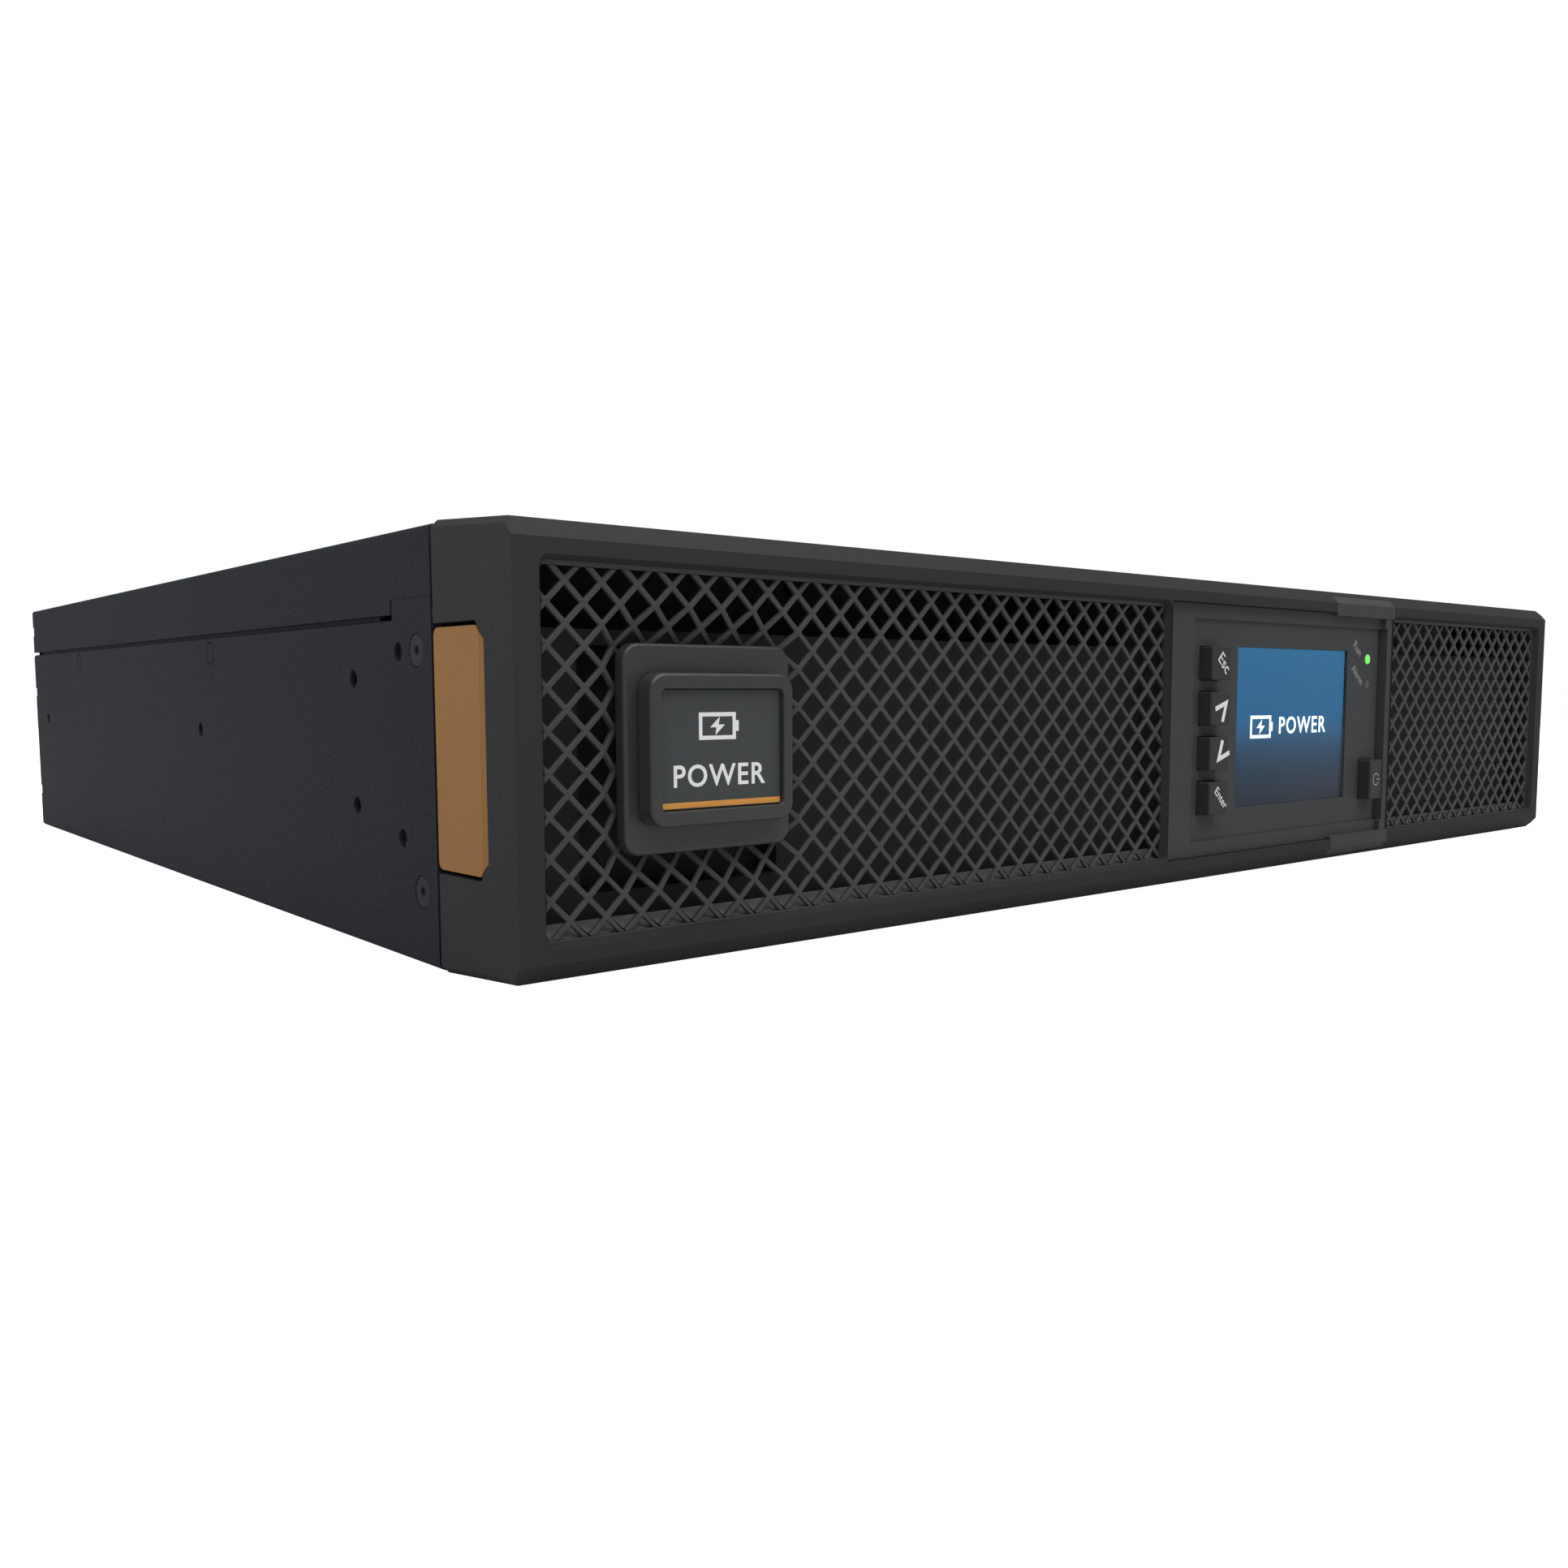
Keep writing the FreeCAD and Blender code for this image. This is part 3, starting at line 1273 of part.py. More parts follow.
def sloped_mesh():
    """Ring of mesh that slopes back from the flat mesh to the foot of the badge mount."""
    back = mesh_y + dip_depth + mesh_thick
    wide = (around(badge_x, 2 * dip_half_w), around(mid_z, 2 * dip_half_h))
    narrow = (around(badge_x, 2 * boss_half_w), around(mid_z, 2 * boss_half_h))
    moved = funnel(mesh_y + mesh_thick, wide, narrow)
    collar = block(wide[0], (mesh_y, mesh_y + mesh_thick), wide[1])
    floor = block(narrow[0], (mesh_y, back + 1), narrow[1])
    ring = joined([moved, collar]).cut([funnel(mesh_y, wide, narrow), floor])
    tools = []
    inside = 2 * well_edge + 0.2
    for outline in diamond_holes(around(badge_x, 2 * dip_half_w - inside),
                                 around(mid_z, 2 * dip_half_h - inside)):
        points = [(px, mesh_y - 1, pz) for px, pz in outline]
        tools.append(prism(points, (0, dip_depth + mesh_thick + 2, 0)))
    foot = block(around(badge_x, 2 * boss_half_w + 2.0), (mesh_y, back),
                 around(mid_z, 2 * boss_half_h + 2.0))
    return joined([ring.cut(tools), foot.common(ring)])


def ledge(x):
    """Sloped sill along the foot of a grille, behind the mesh."""
    y0 = mesh_y + mesh_thick
    z0 = window_bottom
    profile = [(y0, z0 - 1.6), (y0, z0 + 0.2),
               (y0 + ledge_depth, z0 + ledge_rise), (y0 + ledge_depth, z0 - 1.6)]
    start = x[0] + ledge_end_gap
    return prism([(start, y, z) for y, z in profile], (x[1] - x[0] - 2 * ledge_end_gap, 0, 0))


def left_grille():
    """Mesh panel in front of the batteries, with a well around the badge."""
    x = (left_window[0] - mesh_rim, housing_x[0] - fit)
    z = (window_bottom - mesh_rim, window_top + mesh_rim)
    well = (around(badge_x, 2 * dip_half_w), around(mid_z, 2 * dip_half_h))
    flat = mesh_sheet(x, z, (mesh_side, mesh_end, mesh_side, mesh_top), well)
    return joined([flat, sloped_mesh(), ledge(left_window)])


def right_grille():
    """Plain mesh panel in front of the power electronics."""
    x = (housing_x[1] + fit, right_window[1] + mesh_rim)
    z = (window_bottom - mesh_rim, window_top + mesh_rim)
    flat = mesh_sheet(x, z, (mesh_end, mesh_side, mesh_side, mesh_top))
    return joined([flat, ledge(right_window)])


# ---------------------------------------------------------------- badge
def badge_mount():
    """Square flange on a boss that closes the well in the mesh; it carries the badge's pivot."""
    x = around(badge_x, flange_w)
    z = around(badge_z, flange_h)
    plate = rounded_block(x, (flange_front_y, flange_front_y + flange_thick), z, badge_corner)
    plate = softened(plate, 0.8, lambda e: e.BoundBox.YMax < flange_front_y + 0.01)
    boss = block((badge_x - boss_half_w, badge_x + boss_half_w),
                 (flange_front_y + flange_thick, mesh_y + dip_depth + mesh_thick),
                 (mid_z - boss_half_h, mid_z + boss_half_h))
    bore = rod(badge_pivot_r + running, (badge_x, flange_front_y - 1, badge_z), (0, 1, 0), 20)
    return joined([plate, boss]).cut(bore)


def badge_block():
    """Turning badge: a rounded block with a shallow pocket for its label, on a round pivot."""
    face = front_y - badge_proud
    y = (face, flange_front_y - fit)
    body = rounded_block(around(badge_x, badge_w), y, around(badge_z, badge_h), badge_corner)
    body = softened(body, 0.9, lambda e: e.BoundBox.YMax < face + 0.01)
    pocket = rounded_block(around(badge_x, label_w + 2 * seat_gap),
                           (face - 1, face + label_sunk + label_thick),
                           around(badge_z, label_h + 2 * seat_gap), 1.0)
    pivot = rod(badge_pivot_r, (badge_x, y[1] - 0.5, badge_z), (0, 1, 0), pivot_length)
    return joined([body, pivot]).cut(pocket)


def badge_label():
    face = front_y - badge_proud
    return rounded_block(around(badge_x, label_w), (face + label_sunk, face + label_sunk + label_thick),
                         around(badge_z, label_h), 0.9)


# ---------------------------------------------------------------- display module
def button_places():
    return [mid_z + (1.5 - i) * button_pitch for i in range(4)]


def display_housing():
    """Housing of the display: face panel, surround, and two lugs that fill slots in the bezel's lips."""
    x = housing_x
    z = (window_bottom - lip_draft + seat_gap, window_top + lip_draft - seat_gap)
    back = front_y + lip + housing_back
    plate = block(x, (housing_y, housing_y + housing_face), z)
    tub_x = (x[0] + 1.0, x[1] - 1.0)
    tub = block(tub_x, (panel_y, back), z)
    hollow = block((tub_x[0] + housing_wall, tub_x[1] - housing_wall), (panel_y + panel_thick, back + 1),
                   (z[0] + housing_wall, z[1] - housing_wall))
    recess = block(panel_x, (housing_y - 1, panel_y), panel_z)
    body = joined([plate, tub]).cut([hollow, recess])
    outside = bezel_outside()
    lugs = []
    for space in lug_space(0):
        lugs.append(outside.common(space))
    link_x = (right_window[0] - lug_w, x[1])
    link_y = (housing_y, housing_y + housing_face)
    links = [block(link_x, link_y, (window_top - 0.5, window_top + lip_draft + 0.2)),
             block(link_x, link_y, (window_bottom - lip_draft - 0.2, window_bottom + 0.5))]
    mullion = block((panel_x[1], x[1]), (front_y + 0.3, housing_y + 0.5), z)
    body = joined([body, mullion] + lugs + links)
    through = (panel_y - 1, panel_y + panel_thick + 1)
    cuts = [block(screen_x, through, screen_z)]
    cuts.append(block((panel_x[1] - 0.1, panel_x[1] + panel_groove_w),
                      (front_y - 1, panel_y + panel_groove_deep), panel_z))
    for bz in button_places():
        cuts.append(block(around(button_x, button_size + 2 * button_gap), through,
                          around(bz, button_size + 2 * button_gap)))
    cuts.append(block(around(power_x, power_w + 2 * button_gap), through,
                      around(power_z, power_h + 2 * button_gap)))
    for lz in (run_light_z, alarm_light_z):
        cuts.append(rod(light_r + 0.05, (light_x, panel_y - 1, lz), (0, 1, 0), 6))
    return body.cut(cuts)


def screen_lens():
    """Clear window flush in the display panel."""
    y0 = panel_y + lens_sunk
    return block((screen_x[0] + seat_gap, screen_x[1] - seat_gap), (y0, y0 + lens_thick),
                 (screen_z[0] + seat_gap, screen_z[1] - seat_gap))


def screen_panel():
    """Liquid-crystal panel behind the lens."""
    y0 = panel_y + lens_sunk + lens_thick + 0.05
    glass = block((screen_x[0] + seat_gap, screen_x[1] - seat_gap), (y0, panel_y + panel_thick),
                  (screen_z[0] + seat_gap, screen_z[1] - seat_gap))
    tray = block((screen_x[0] - 3, screen_x[1] + 3), (panel_y + panel_thick, panel_y + panel_thick + 2.0),
                 (screen_z[0] - 3, screen_z[1] + 3))
    return joined([glass, tray])


def display_board():
    """Circuit board behind the display, on pillars inside the housing."""
    x = (panel_x[0] - 8, panel_x[1] - 0.5)
    return block(x, (display_board_y, display_board_y + board_thick), (panel_z[0] + 1, panel_z[1] - 1))


def display_plug():
    """Blind-mating plug on the back of the display board."""
    y0 = display_board_y + board_thick
    return block(plug_x, (y0, socket_front_y + plug_reach), plug_z)


def display_socket():
    """Socket on the front bulkhead that meets the display's plug."""
    y = (socket_front_y, bulkhead_y - seat_gap)
    outer = block((plug_x[0] - socket_wall, plug_x[1] + socket_wall), y,
                  (plug_z[0] - socket_wall, plug_z[1] + socket_wall))
    mouth = block((plug_x[0] - fit, plug_x[1] + fit), (y[0] - 1, y[0] + plug_reach + 2.5),
                  (plug_z[0] - fit, plug_z[1] + fit))
    return outer.cut(mouth)


def status_light(z):
    """Round light guide, flush with the display panel."""
    return rod(light_r, (light_x, panel_y - 0.1, z), (0, 1, 0), 4.0)


def panel_button(x, z, width, height):
    """Push button with a rounded cap and a wider foot behind the panel."""
    cap = block(around(x, width), (panel_y - button_proud, panel_y + panel_thick + 0.4), around(z, height))
    cap = softened(cap, 0.5, lambda e: e.BoundBox.YMax < panel_y - button_proud + 0.01 or along_y(e, 3))
    foot_y = panel_y + panel_thick + 0.3
    foot = block(around(x, width + 2 * button_foot), (foot_y, foot_y + 1.0),
                 around(z, height + 2 * button_foot))
    return joined([cap, foot])


def side_latch():
    """Orange grip pad on the left side, with the arm that reaches back to the case."""
    half = bezel_width / 2
    slope = bezel_taper_x / bezel_depth
    outline = latch_outline(0)
    y_back = outline[0][0]
    y_front = outline[3][0]
    pad = prism([(-half - 1, y, z) for y, z in outline], (latch_thick + 3, 0, 0))
    skin_back = -half + latch_inset
    skin_front = -half + latch_inset + slope * (bezel_back_y - y_front)
    outside = prism([(skin_back, y_back, 0), (skin_front, y_front, 0),
                     (skin_front + latch_thick, y_front, 0), (skin_back + latch_thick, y_back, 0)],
                    (0, 0, bezel_height))
    pad = pad.common(outside)
    edge = prism([(skin_front - 2, y_front - 1, 0), (skin_front - 2, y_front + 3.0, 0),
                  (skin_front, y_front + 1.9, 0), (skin_front + 0.9, y_front - 1, 0)],
                 (0, 0, bezel_height))
    pad = pad.cut(edge)

    def rear_edge(edge):
        at_back = all(abs(v.Y - y_back) < 0.01 for v in edge.Vertexes)
        return at_back and edge.BoundBox.ZLength < 0.01 and len(edge.Vertexes) == 2
    pad = softened(pad, latch_round, rear_edge)
    arm = block((-half + latch_thick - 0.4, -half + latch_thick - 0.4 + latch_arm_thick),
                (y_front + 5, latch_arm_end_y), around(mid_z, latch_arm_w))
    return joined([pad, arm])


# ================================================================ build every piece
pieces = {
    "chassis_base": chassis_base(),
    "top_cover": top_cover(),
    "rear_panel": rear_panel(),
    "front_bulkhead": front_bulkhead(),
    "front_screws": group(side_screws() + door_screws()),
    "battery_door": battery_door(),
    "intake_baffle": intake_baffle(),
    "battery_tray": battery_tray(),
    "battery_front_left": battery(0, 0),
    "battery_front_right": battery(1, 0),
    "battery_rear_left": battery(0, 1),
    "battery_rear_right": battery(1, 1),
    "battery_terminals": battery_terminals(),
    "battery_leads": battery_leads(),
    "battery_connector": battery_connector(),
    "power_board": power_board(),
    "board_standoffs": board_standoffs(),
    "rectifier_heat_sink": heat_sink(60.0, 40.0),
    "inverter_heat_sink": heat_sink(144.0, 56.0),
    "bus_capacitors": bus_capacitors(),
    "power_inductors": power_inductors(),
    "transformer": transformer(),
    "relays": relays(),
    "control_board": control_board(),
    "control_headers": control_headers(),
    "outlet_sockets": outlet_sockets(),
    "inlet_socket": socket(inlet_x, inlet_z, True),
    "breaker_body": breaker_body(),
    "breaker_nut": breaker_nut(),
    "breaker_button": breaker_button(),
    "usb_port": usb_port(),
    "network_port": network_port(),
    "terminal_block": terminal_block(),
    "card_slot_cover": card_slot_cover(),
    "external_battery_port": external_battery_port(),
    "rear_screws": group(card_slot_screws() + fan_screws() + [ground_screw()]),
    "fan_frames": group([fan_frame(x) for x in fan_x]),
    "fan_rotor_inner": fan_rotor(fan_x[0]),
    "fan_rotor_outer": fan_rotor(fan_x[1]),
    "fan_guards": group([fan_guard(x) for x in fan_x]),
    "display_socket": display_socket(),
    "bezel_frame": bezel_frame(),
    "left_grille": left_grille(),
    "right_grille": right_grille(),
    "badge_mount": badge_mount(),
    "badge_block": badge_block(),
    "badge_label": badge_label(),
    "display_housing": display_housing(),
    "screen_lens": screen_lens(),
    "screen_panel": screen_panel(),
    "display_board": display_board(),
    "display_plug": display_plug(),
    "status_lights": group([status_light(run_light_z), status_light(alarm_light_z)]),
    "power_button": panel_button(power_x, power_z, power_w, power_h),
    "left_latch": side_latch(),
    "right_latch": mirrored(side_latch()),
}

button_names = ("esc_button", "up_button", "down_button", "enter_button")
for name, place in zip(button_names, button_places()):
    pieces[name] = panel_button(button_x, place, button_size, button_size)

for node, shape in pieces.items():
    export(shape, node)
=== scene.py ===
import json
import math

import bpy
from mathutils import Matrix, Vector

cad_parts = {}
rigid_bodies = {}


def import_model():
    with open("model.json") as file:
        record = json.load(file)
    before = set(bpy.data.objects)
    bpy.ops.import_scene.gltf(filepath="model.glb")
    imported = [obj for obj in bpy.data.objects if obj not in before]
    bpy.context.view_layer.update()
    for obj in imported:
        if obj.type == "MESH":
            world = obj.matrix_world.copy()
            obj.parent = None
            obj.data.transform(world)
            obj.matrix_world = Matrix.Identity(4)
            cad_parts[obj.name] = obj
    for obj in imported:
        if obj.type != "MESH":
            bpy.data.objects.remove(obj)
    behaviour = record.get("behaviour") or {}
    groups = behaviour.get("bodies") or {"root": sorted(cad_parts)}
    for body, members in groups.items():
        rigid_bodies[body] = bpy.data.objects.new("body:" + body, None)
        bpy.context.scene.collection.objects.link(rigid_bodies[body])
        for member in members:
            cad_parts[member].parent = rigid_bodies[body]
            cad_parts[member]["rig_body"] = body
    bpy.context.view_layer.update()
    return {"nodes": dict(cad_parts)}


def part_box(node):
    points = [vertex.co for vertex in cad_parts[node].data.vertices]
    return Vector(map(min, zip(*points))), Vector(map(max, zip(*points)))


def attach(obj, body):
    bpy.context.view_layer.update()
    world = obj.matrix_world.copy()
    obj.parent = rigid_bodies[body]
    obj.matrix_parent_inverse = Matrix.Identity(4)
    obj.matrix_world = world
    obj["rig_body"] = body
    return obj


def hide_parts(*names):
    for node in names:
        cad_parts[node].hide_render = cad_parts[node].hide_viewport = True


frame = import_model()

# ================================================================ painted case
# The case is a folded tray and a lipped cover of 1.2 mm sheet steel, both powder coated
# charcoal. The cover is screwed down; bent edges are rounded and cut edges are crisp.
MM = 0.001


def only(obj):
    """Selects one object and makes it active."""
    bpy.ops.object.select_all(action="DESELECT")
    obj.select_set(True)
    bpy.context.view_layer.objects.active = obj


def finished(obj, body, material, smooth=35):
    """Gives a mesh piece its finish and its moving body."""
    only(obj)
    bpy.ops.object.transform_apply(location=True, rotation=True, scale=True)
    obj.data.materials.clear()
    obj.data.materials.append(material)
    bpy.ops.object.shade_smooth_by_angle(angle=math.radians(smooth))
    even = obj.modifiers.new("even shading", "WEIGHTED_NORMAL")
    even.keep_sharp = True
    bpy.ops.object.modifier_apply(modifier=even.name)
    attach(obj, body)
    return obj


def body_of(node):
    """The moving body that a CAD node belongs to."""
    return frame["nodes"][node]["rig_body"]


def eased_copy(node, material, width, segments=2):
    """A copy of a CAD node with its sharp edges eased by a small bevel; it stands for the node."""
    source = frame["nodes"][node]
    obj = bpy.data.objects.new(node + "_eased", source.data.copy())
    bpy.context.scene.collection.objects.link(obj)
    only(obj)
    bpy.ops.object.mode_set(mode="EDIT")
    bpy.ops.mesh.select_all(action="SELECT")
    bpy.ops.mesh.remove_doubles(threshold=0.002 * MM)
    bpy.ops.mesh.dissolve_limited(angle_limit=math.radians(0.5))
    bpy.ops.object.mode_set(mode="OBJECT")
    bevel = obj.modifiers.new("eased edges", "BEVEL")
    bevel.width = width * MM
    bevel.segments = segments
    bevel.limit_method = "ANGLE"
    bevel.angle_limit = math.radians(38)
    bevel.use_clamp_overlap = True
    bevel.harden_normals = False
    bpy.ops.object.modifier_apply(modifier=bevel.name)
    finished(obj, body_of(node), material)
    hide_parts(node)
    return obj


def paint_node(node, material, smooth=None):
    """Gives a CAD node its finish and leaves its shape alone."""
    obj = frame["nodes"][node]
    obj.data.materials.clear()
    obj.data.materials.append(material)
    if smooth:
        only(obj)
        bpy.ops.object.shade_smooth_by_angle(angle=math.radians(smooth))
    return obj


def new_group(name, inputs, outputs):
    """An empty shader group with named number inputs and named outputs."""
    tree = bpy.data.node_groups.new(name, "ShaderNodeTree")
    for label, value in inputs:
        socket = tree.interface.new_socket(label, in_out="INPUT", socket_type="NodeSocketFloat")
        socket.default_value = value
    for label in outputs:
        tree.interface.new_socket(label, in_out="OUTPUT", socket_type="NodeSocketFloat")
    tree.nodes.new("NodeGroupInput").name = "in"
    tree.nodes.new("NodeGroupOutput").name = "out"
    return tree


def add(tree, kind, links=None, **settings):
    """Adds a shader node, sets its properties, and links sockets given as {input: (node, output)}."""
    node = tree.nodes.new(kind)
    for key, value in settings.items():
        setattr(node, key, value)
    for key, source in (links or {}).items():
        target = node.inputs[key]
        if isinstance(source, tuple) and isinstance(source[0], bpy.types.Node):
            tree.links.new(source[0].outputs[source[1]], target)
        else:
            target.default_value = source
    return node


def surface_grain_group():
    """Fine grain, and slow patches of slightly different colour and gloss, both sized in millimetres."""
    tree = new_group("surface grain", [("Grain mm", 0.8), ("Patch mm", 60.0)], ["Grain", "Patch"])
    place = add(tree, "ShaderNodeTexCoord")
    scales = []
    for label in ("Grain mm", "Patch mm"):
        scales.append(add(tree, "ShaderNodeMath", {0: 1000.0, 1: (tree.nodes["in"], label)},
                          operation="DIVIDE"))
    grain = add(tree, "ShaderNodeTexNoise",
                {"Vector": (place, "Object"), "Scale": (scales[0], 0), "Detail": 2.0, "Roughness": 0.6})
    patch = add(tree, "ShaderNodeTexNoise",
                {"Vector": (place, "Object"), "Scale": (scales[1], 0), "Detail": 3.0, "Roughness": 0.5})
    tree.links.new(grain.outputs["Fac"], tree.nodes["out"].inputs["Grain"])
    tree.links.new(patch.outputs["Fac"], tree.nodes["out"].inputs["Patch"])
    return tree


surface_grain = surface_grain_group()


def grained(name, dark, light, rough, grain_mm, depth, metallic=0.0, rough_spread=0.08, specular=0.2):
    """A painted, moulded or plated finish: two near colours in slow patches over a fine grain."""
    material = bpy.data.materials.new(name)
    material.use_nodes = True
    tree = material.node_tree
    shader = tree.nodes["Principled BSDF"]
    shader.inputs["Metallic"].default_value = metallic
    shader.inputs["Specular IOR Level"].default_value = specular
    grain = add(tree, "ShaderNodeGroup", node_tree=surface_grain)
    grain.inputs["Grain mm"].default_value = grain_mm
    ramp = add(tree, "ShaderNodeValToRGB", {"Fac": (grain, "Patch")})
    ramp.color_ramp.elements[0].position = 0.3
    ramp.color_ramp.elements[1].position = 0.7
    ramp.color_ramp.elements[0].color = (*dark, 1)
    ramp.color_ramp.elements[1].color = (*light, 1)
    tree.links.new(ramp.outputs["Color"], shader.inputs["Base Color"])
    gloss = add(tree, "ShaderNodeMapRange", {"Value": (grain, "Grain"), "From Min": 0.3, "From Max": 0.7,
                                             "To Min": rough - rough_spread, "To Max": rough + rough_spread})
    tree.links.new(gloss.outputs["Result"], shader.inputs["Roughness"])
    bump = add(tree, "ShaderNodeBump", {"Height": (grain, "Grain"), "Strength": 0.5, "Distance": depth * MM})
    tree.links.new(bump.outputs["Normal"], shader.inputs["Normal"])
    return material


charcoal_coat = grained("charcoal powder coat", (0.020, 0.0225, 0.027), (0.023, 0.0255, 0.030), 0.6, 0.9,
                        0.05, specular=0.05)
eased_copy("chassis_base", charcoal_coat, 0.18)
eased_copy("top_cover", charcoal_coat, 0.18)

# ================================================================ rear wall
# The rear wall is punched from the same sheet, coated like the case, with a blank plate
# over the card slot.
eased_copy("rear_panel", charcoal_coat, 0.12, 1)
eased_copy("card_slot_cover", charcoal_coat, 0.2)

# ================================================================ inner walls
# Behind the bezel a zinc-plated bulkhead spans the case. The battery door and the intake
# baffle in front of it are painted matt black so that they do not shine through the mesh.


def zinc_spangle():
    """Zinc plating: crystal facets of slightly different brightness and gloss."""
    material = bpy.data.materials.new("zinc-plated sheet")
    material.use_nodes = True
    tree = material.node_tree
    shader = tree.nodes["Principled BSDF"]
    shader.inputs["Metallic"].default_value = 1.0
    place = add(tree, "ShaderNodeTexCoord")
    cells = add(tree, "ShaderNodeTexVoronoi", {"Vector": (place, "Object"), "Scale": 180.0})
    ramp = add(tree, "ShaderNodeValToRGB", {"Fac": (cells, "Color")})
    ramp.color_ramp.elements[0].color = (0.38, 0.39, 0.40, 1)
    ramp.color_ramp.elements[1].color = (0.52, 0.53, 0.54, 1)
    tree.links.new(ramp.outputs["Color"], shader.inputs["Base Color"])
    gloss = add(tree, "ShaderNodeMapRange", {"Value": (cells, "Color"), "To Min": 0.30, "To Max": 0.48})
    tree.links.new(gloss.outputs["Result"], shader.inputs["Roughness"])
    return material


zinc_sheet = zinc_spangle()
eased_copy("front_bulkhead", zinc_sheet, 0.12, 1)
door_black = grained("matt black paint", (0.030, 0.031, 0.032), (0.034, 0.035, 0.036), 0.7, 1.0, 0.05,
                     specular=0.1)
eased_copy("battery_door", door_black, 0.4)
eased_copy("intake_baffle", door_black, 0.3)

# ================================================================ screws
# Plated steel screws: countersunk in the case sides, pan head on the door and at the rear.
screw_steel = grained("plated screw steel", (0.16, 0.16, 0.17), (0.24, 0.24, 0.25), 0.32, 0.5, 0.02,
                      metallic=1.0)
side_screw_black = grained("blackened screw steel", (0.018, 0.019, 0.021), (0.024, 0.025, 0.027), 0.5, 0.5,
                           0.02, specular=0.1)
eased_copy("front_screws", side_screw_black, 0.12, 1)
eased_copy("rear_screws", screw_steel, 0.15, 1)

# ================================================================ battery pack
# Four sealed batteries in a zinc-plated tray, with blade terminals, red jumpers and a
# two-pole connector at the back.
battery_abs = grained("battery case ABS", (0.050, 0.052, 0.056), (0.062, 0.064, 0.069), 0.5, 1.2, 0.08)
tinned_brass = grained("tinned brass", (0.55, 0.52, 0.45), (0.66, 0.63, 0.56), 0.3, 0.6, 0.02,
                       metallic=1.0)
red_sleeve = grained("red wire sleeve", (0.40, 0.015, 0.012), (0.48, 0.02, 0.016), 0.42, 1.5, 0.03)
black_nylon = grained("black nylon", (0.014, 0.014, 0.015), (0.020, 0.020, 0.021), 0.42, 0.8, 0.04)
eased_copy("battery_tray", zinc_sheet, 0.15, 1)
for battery in ("battery_front_left", "battery_front_right", "battery_rear_left", "battery_rear_right"):
    eased_copy(battery, battery_abs, 0.4)
eased_copy("battery_terminals", tinned_brass, 0.1, 1)
paint_node("battery_leads", red_sleeve, 40)
eased_copy("battery_connector", black_nylon, 0.4)

# ================================================================ power electronics
# A main board on nine pillars carries two extruded heat sinks, capacitors, chokes, a
# transformer and relays; the control board stands on edge beside it.


def circuit_laminate():
    """Green solder mask with copper tracks showing through as a lighter pattern."""
    material = bpy.data.materials.new("green circuit laminate")
    material.use_nodes = True
    tree = material.node_tree
    shader = tree.nodes["Principled BSDF"]
    place = add(tree, "ShaderNodeTexCoord")
    tracks = add(tree, "ShaderNodeTexBrick", {"Vector": (place, "Object"), "Scale": 260.0,
                                              "Mortar Size": 0.06})
    tracks.inputs["Color1"].default_value = (0.010, 0.085, 0.030, 1)
    tracks.inputs["Color2"].default_value = (0.012, 0.095, 0.036, 1)
    tracks.inputs["Mortar"].default_value = (0.030, 0.170, 0.060, 1)
    tree.links.new(tracks.outputs["Color"], shader.inputs["Base Color"])
    gloss = add(tree, "ShaderNodeMapRange", {"Value": (tracks, "Fac"), "To Min": 0.28, "To Max": 0.4})
    tree.links.new(gloss.outputs["Result"], shader.inputs["Roughness"])
    bump = add(tree, "ShaderNodeBump", {"Height": (tracks, "Fac"), "Strength": 0.4, "Distance": 0.05 * MM})
    tree.links.new(bump.outputs["Normal"], shader.inputs["Normal"])
    return material


def streaked(name, dark, light, rough, stretch, depth, metallic):
    """A finish with fine parallel streaks; stretch is the scale of the pattern along x, y and z."""
    material = bpy.data.materials.new(name)
    material.use_nodes = True
    tree = material.node_tree
    shader = tree.nodes["Principled BSDF"]
    shader.inputs["Metallic"].default_value = metallic
    place = add(tree, "ShaderNodeTexCoord")
    mapping = add(tree, "ShaderNodeMapping", {"Vector": (place, "Object"), "Scale": stretch})
    streaks = add(tree, "ShaderNodeTexNoise", {"Vector": (mapping, "Vector"), "Scale": 1.0, "Detail": 3.0})
    ramp = add(tree, "ShaderNodeValToRGB", {"Fac": (streaks, "Fac")})
    ramp.color_ramp.elements[0].position = 0.35
    ramp.color_ramp.elements[1].position = 0.65
    ramp.color_ramp.elements[0].color = (*dark, 1)
    ramp.color_ramp.elements[1].color = (*light, 1)
    tree.links.new(ramp.outputs["Color"], shader.inputs["Base Color"])
    gloss = add(tree, "ShaderNodeMapRange", {"Value": (streaks, "Fac"), "To Min": rough - 0.08,
                                             "To Max": rough + 0.08})
    tree.links.new(gloss.outputs["Result"], shader.inputs["Roughness"])
    bump = add(tree, "ShaderNodeBump", {"Height": (streaks, "Fac"), "Strength": 0.5, "Distance": depth * MM})
    tree.links.new(bump.outputs["Normal"], shader.inputs["Normal"])
    return material


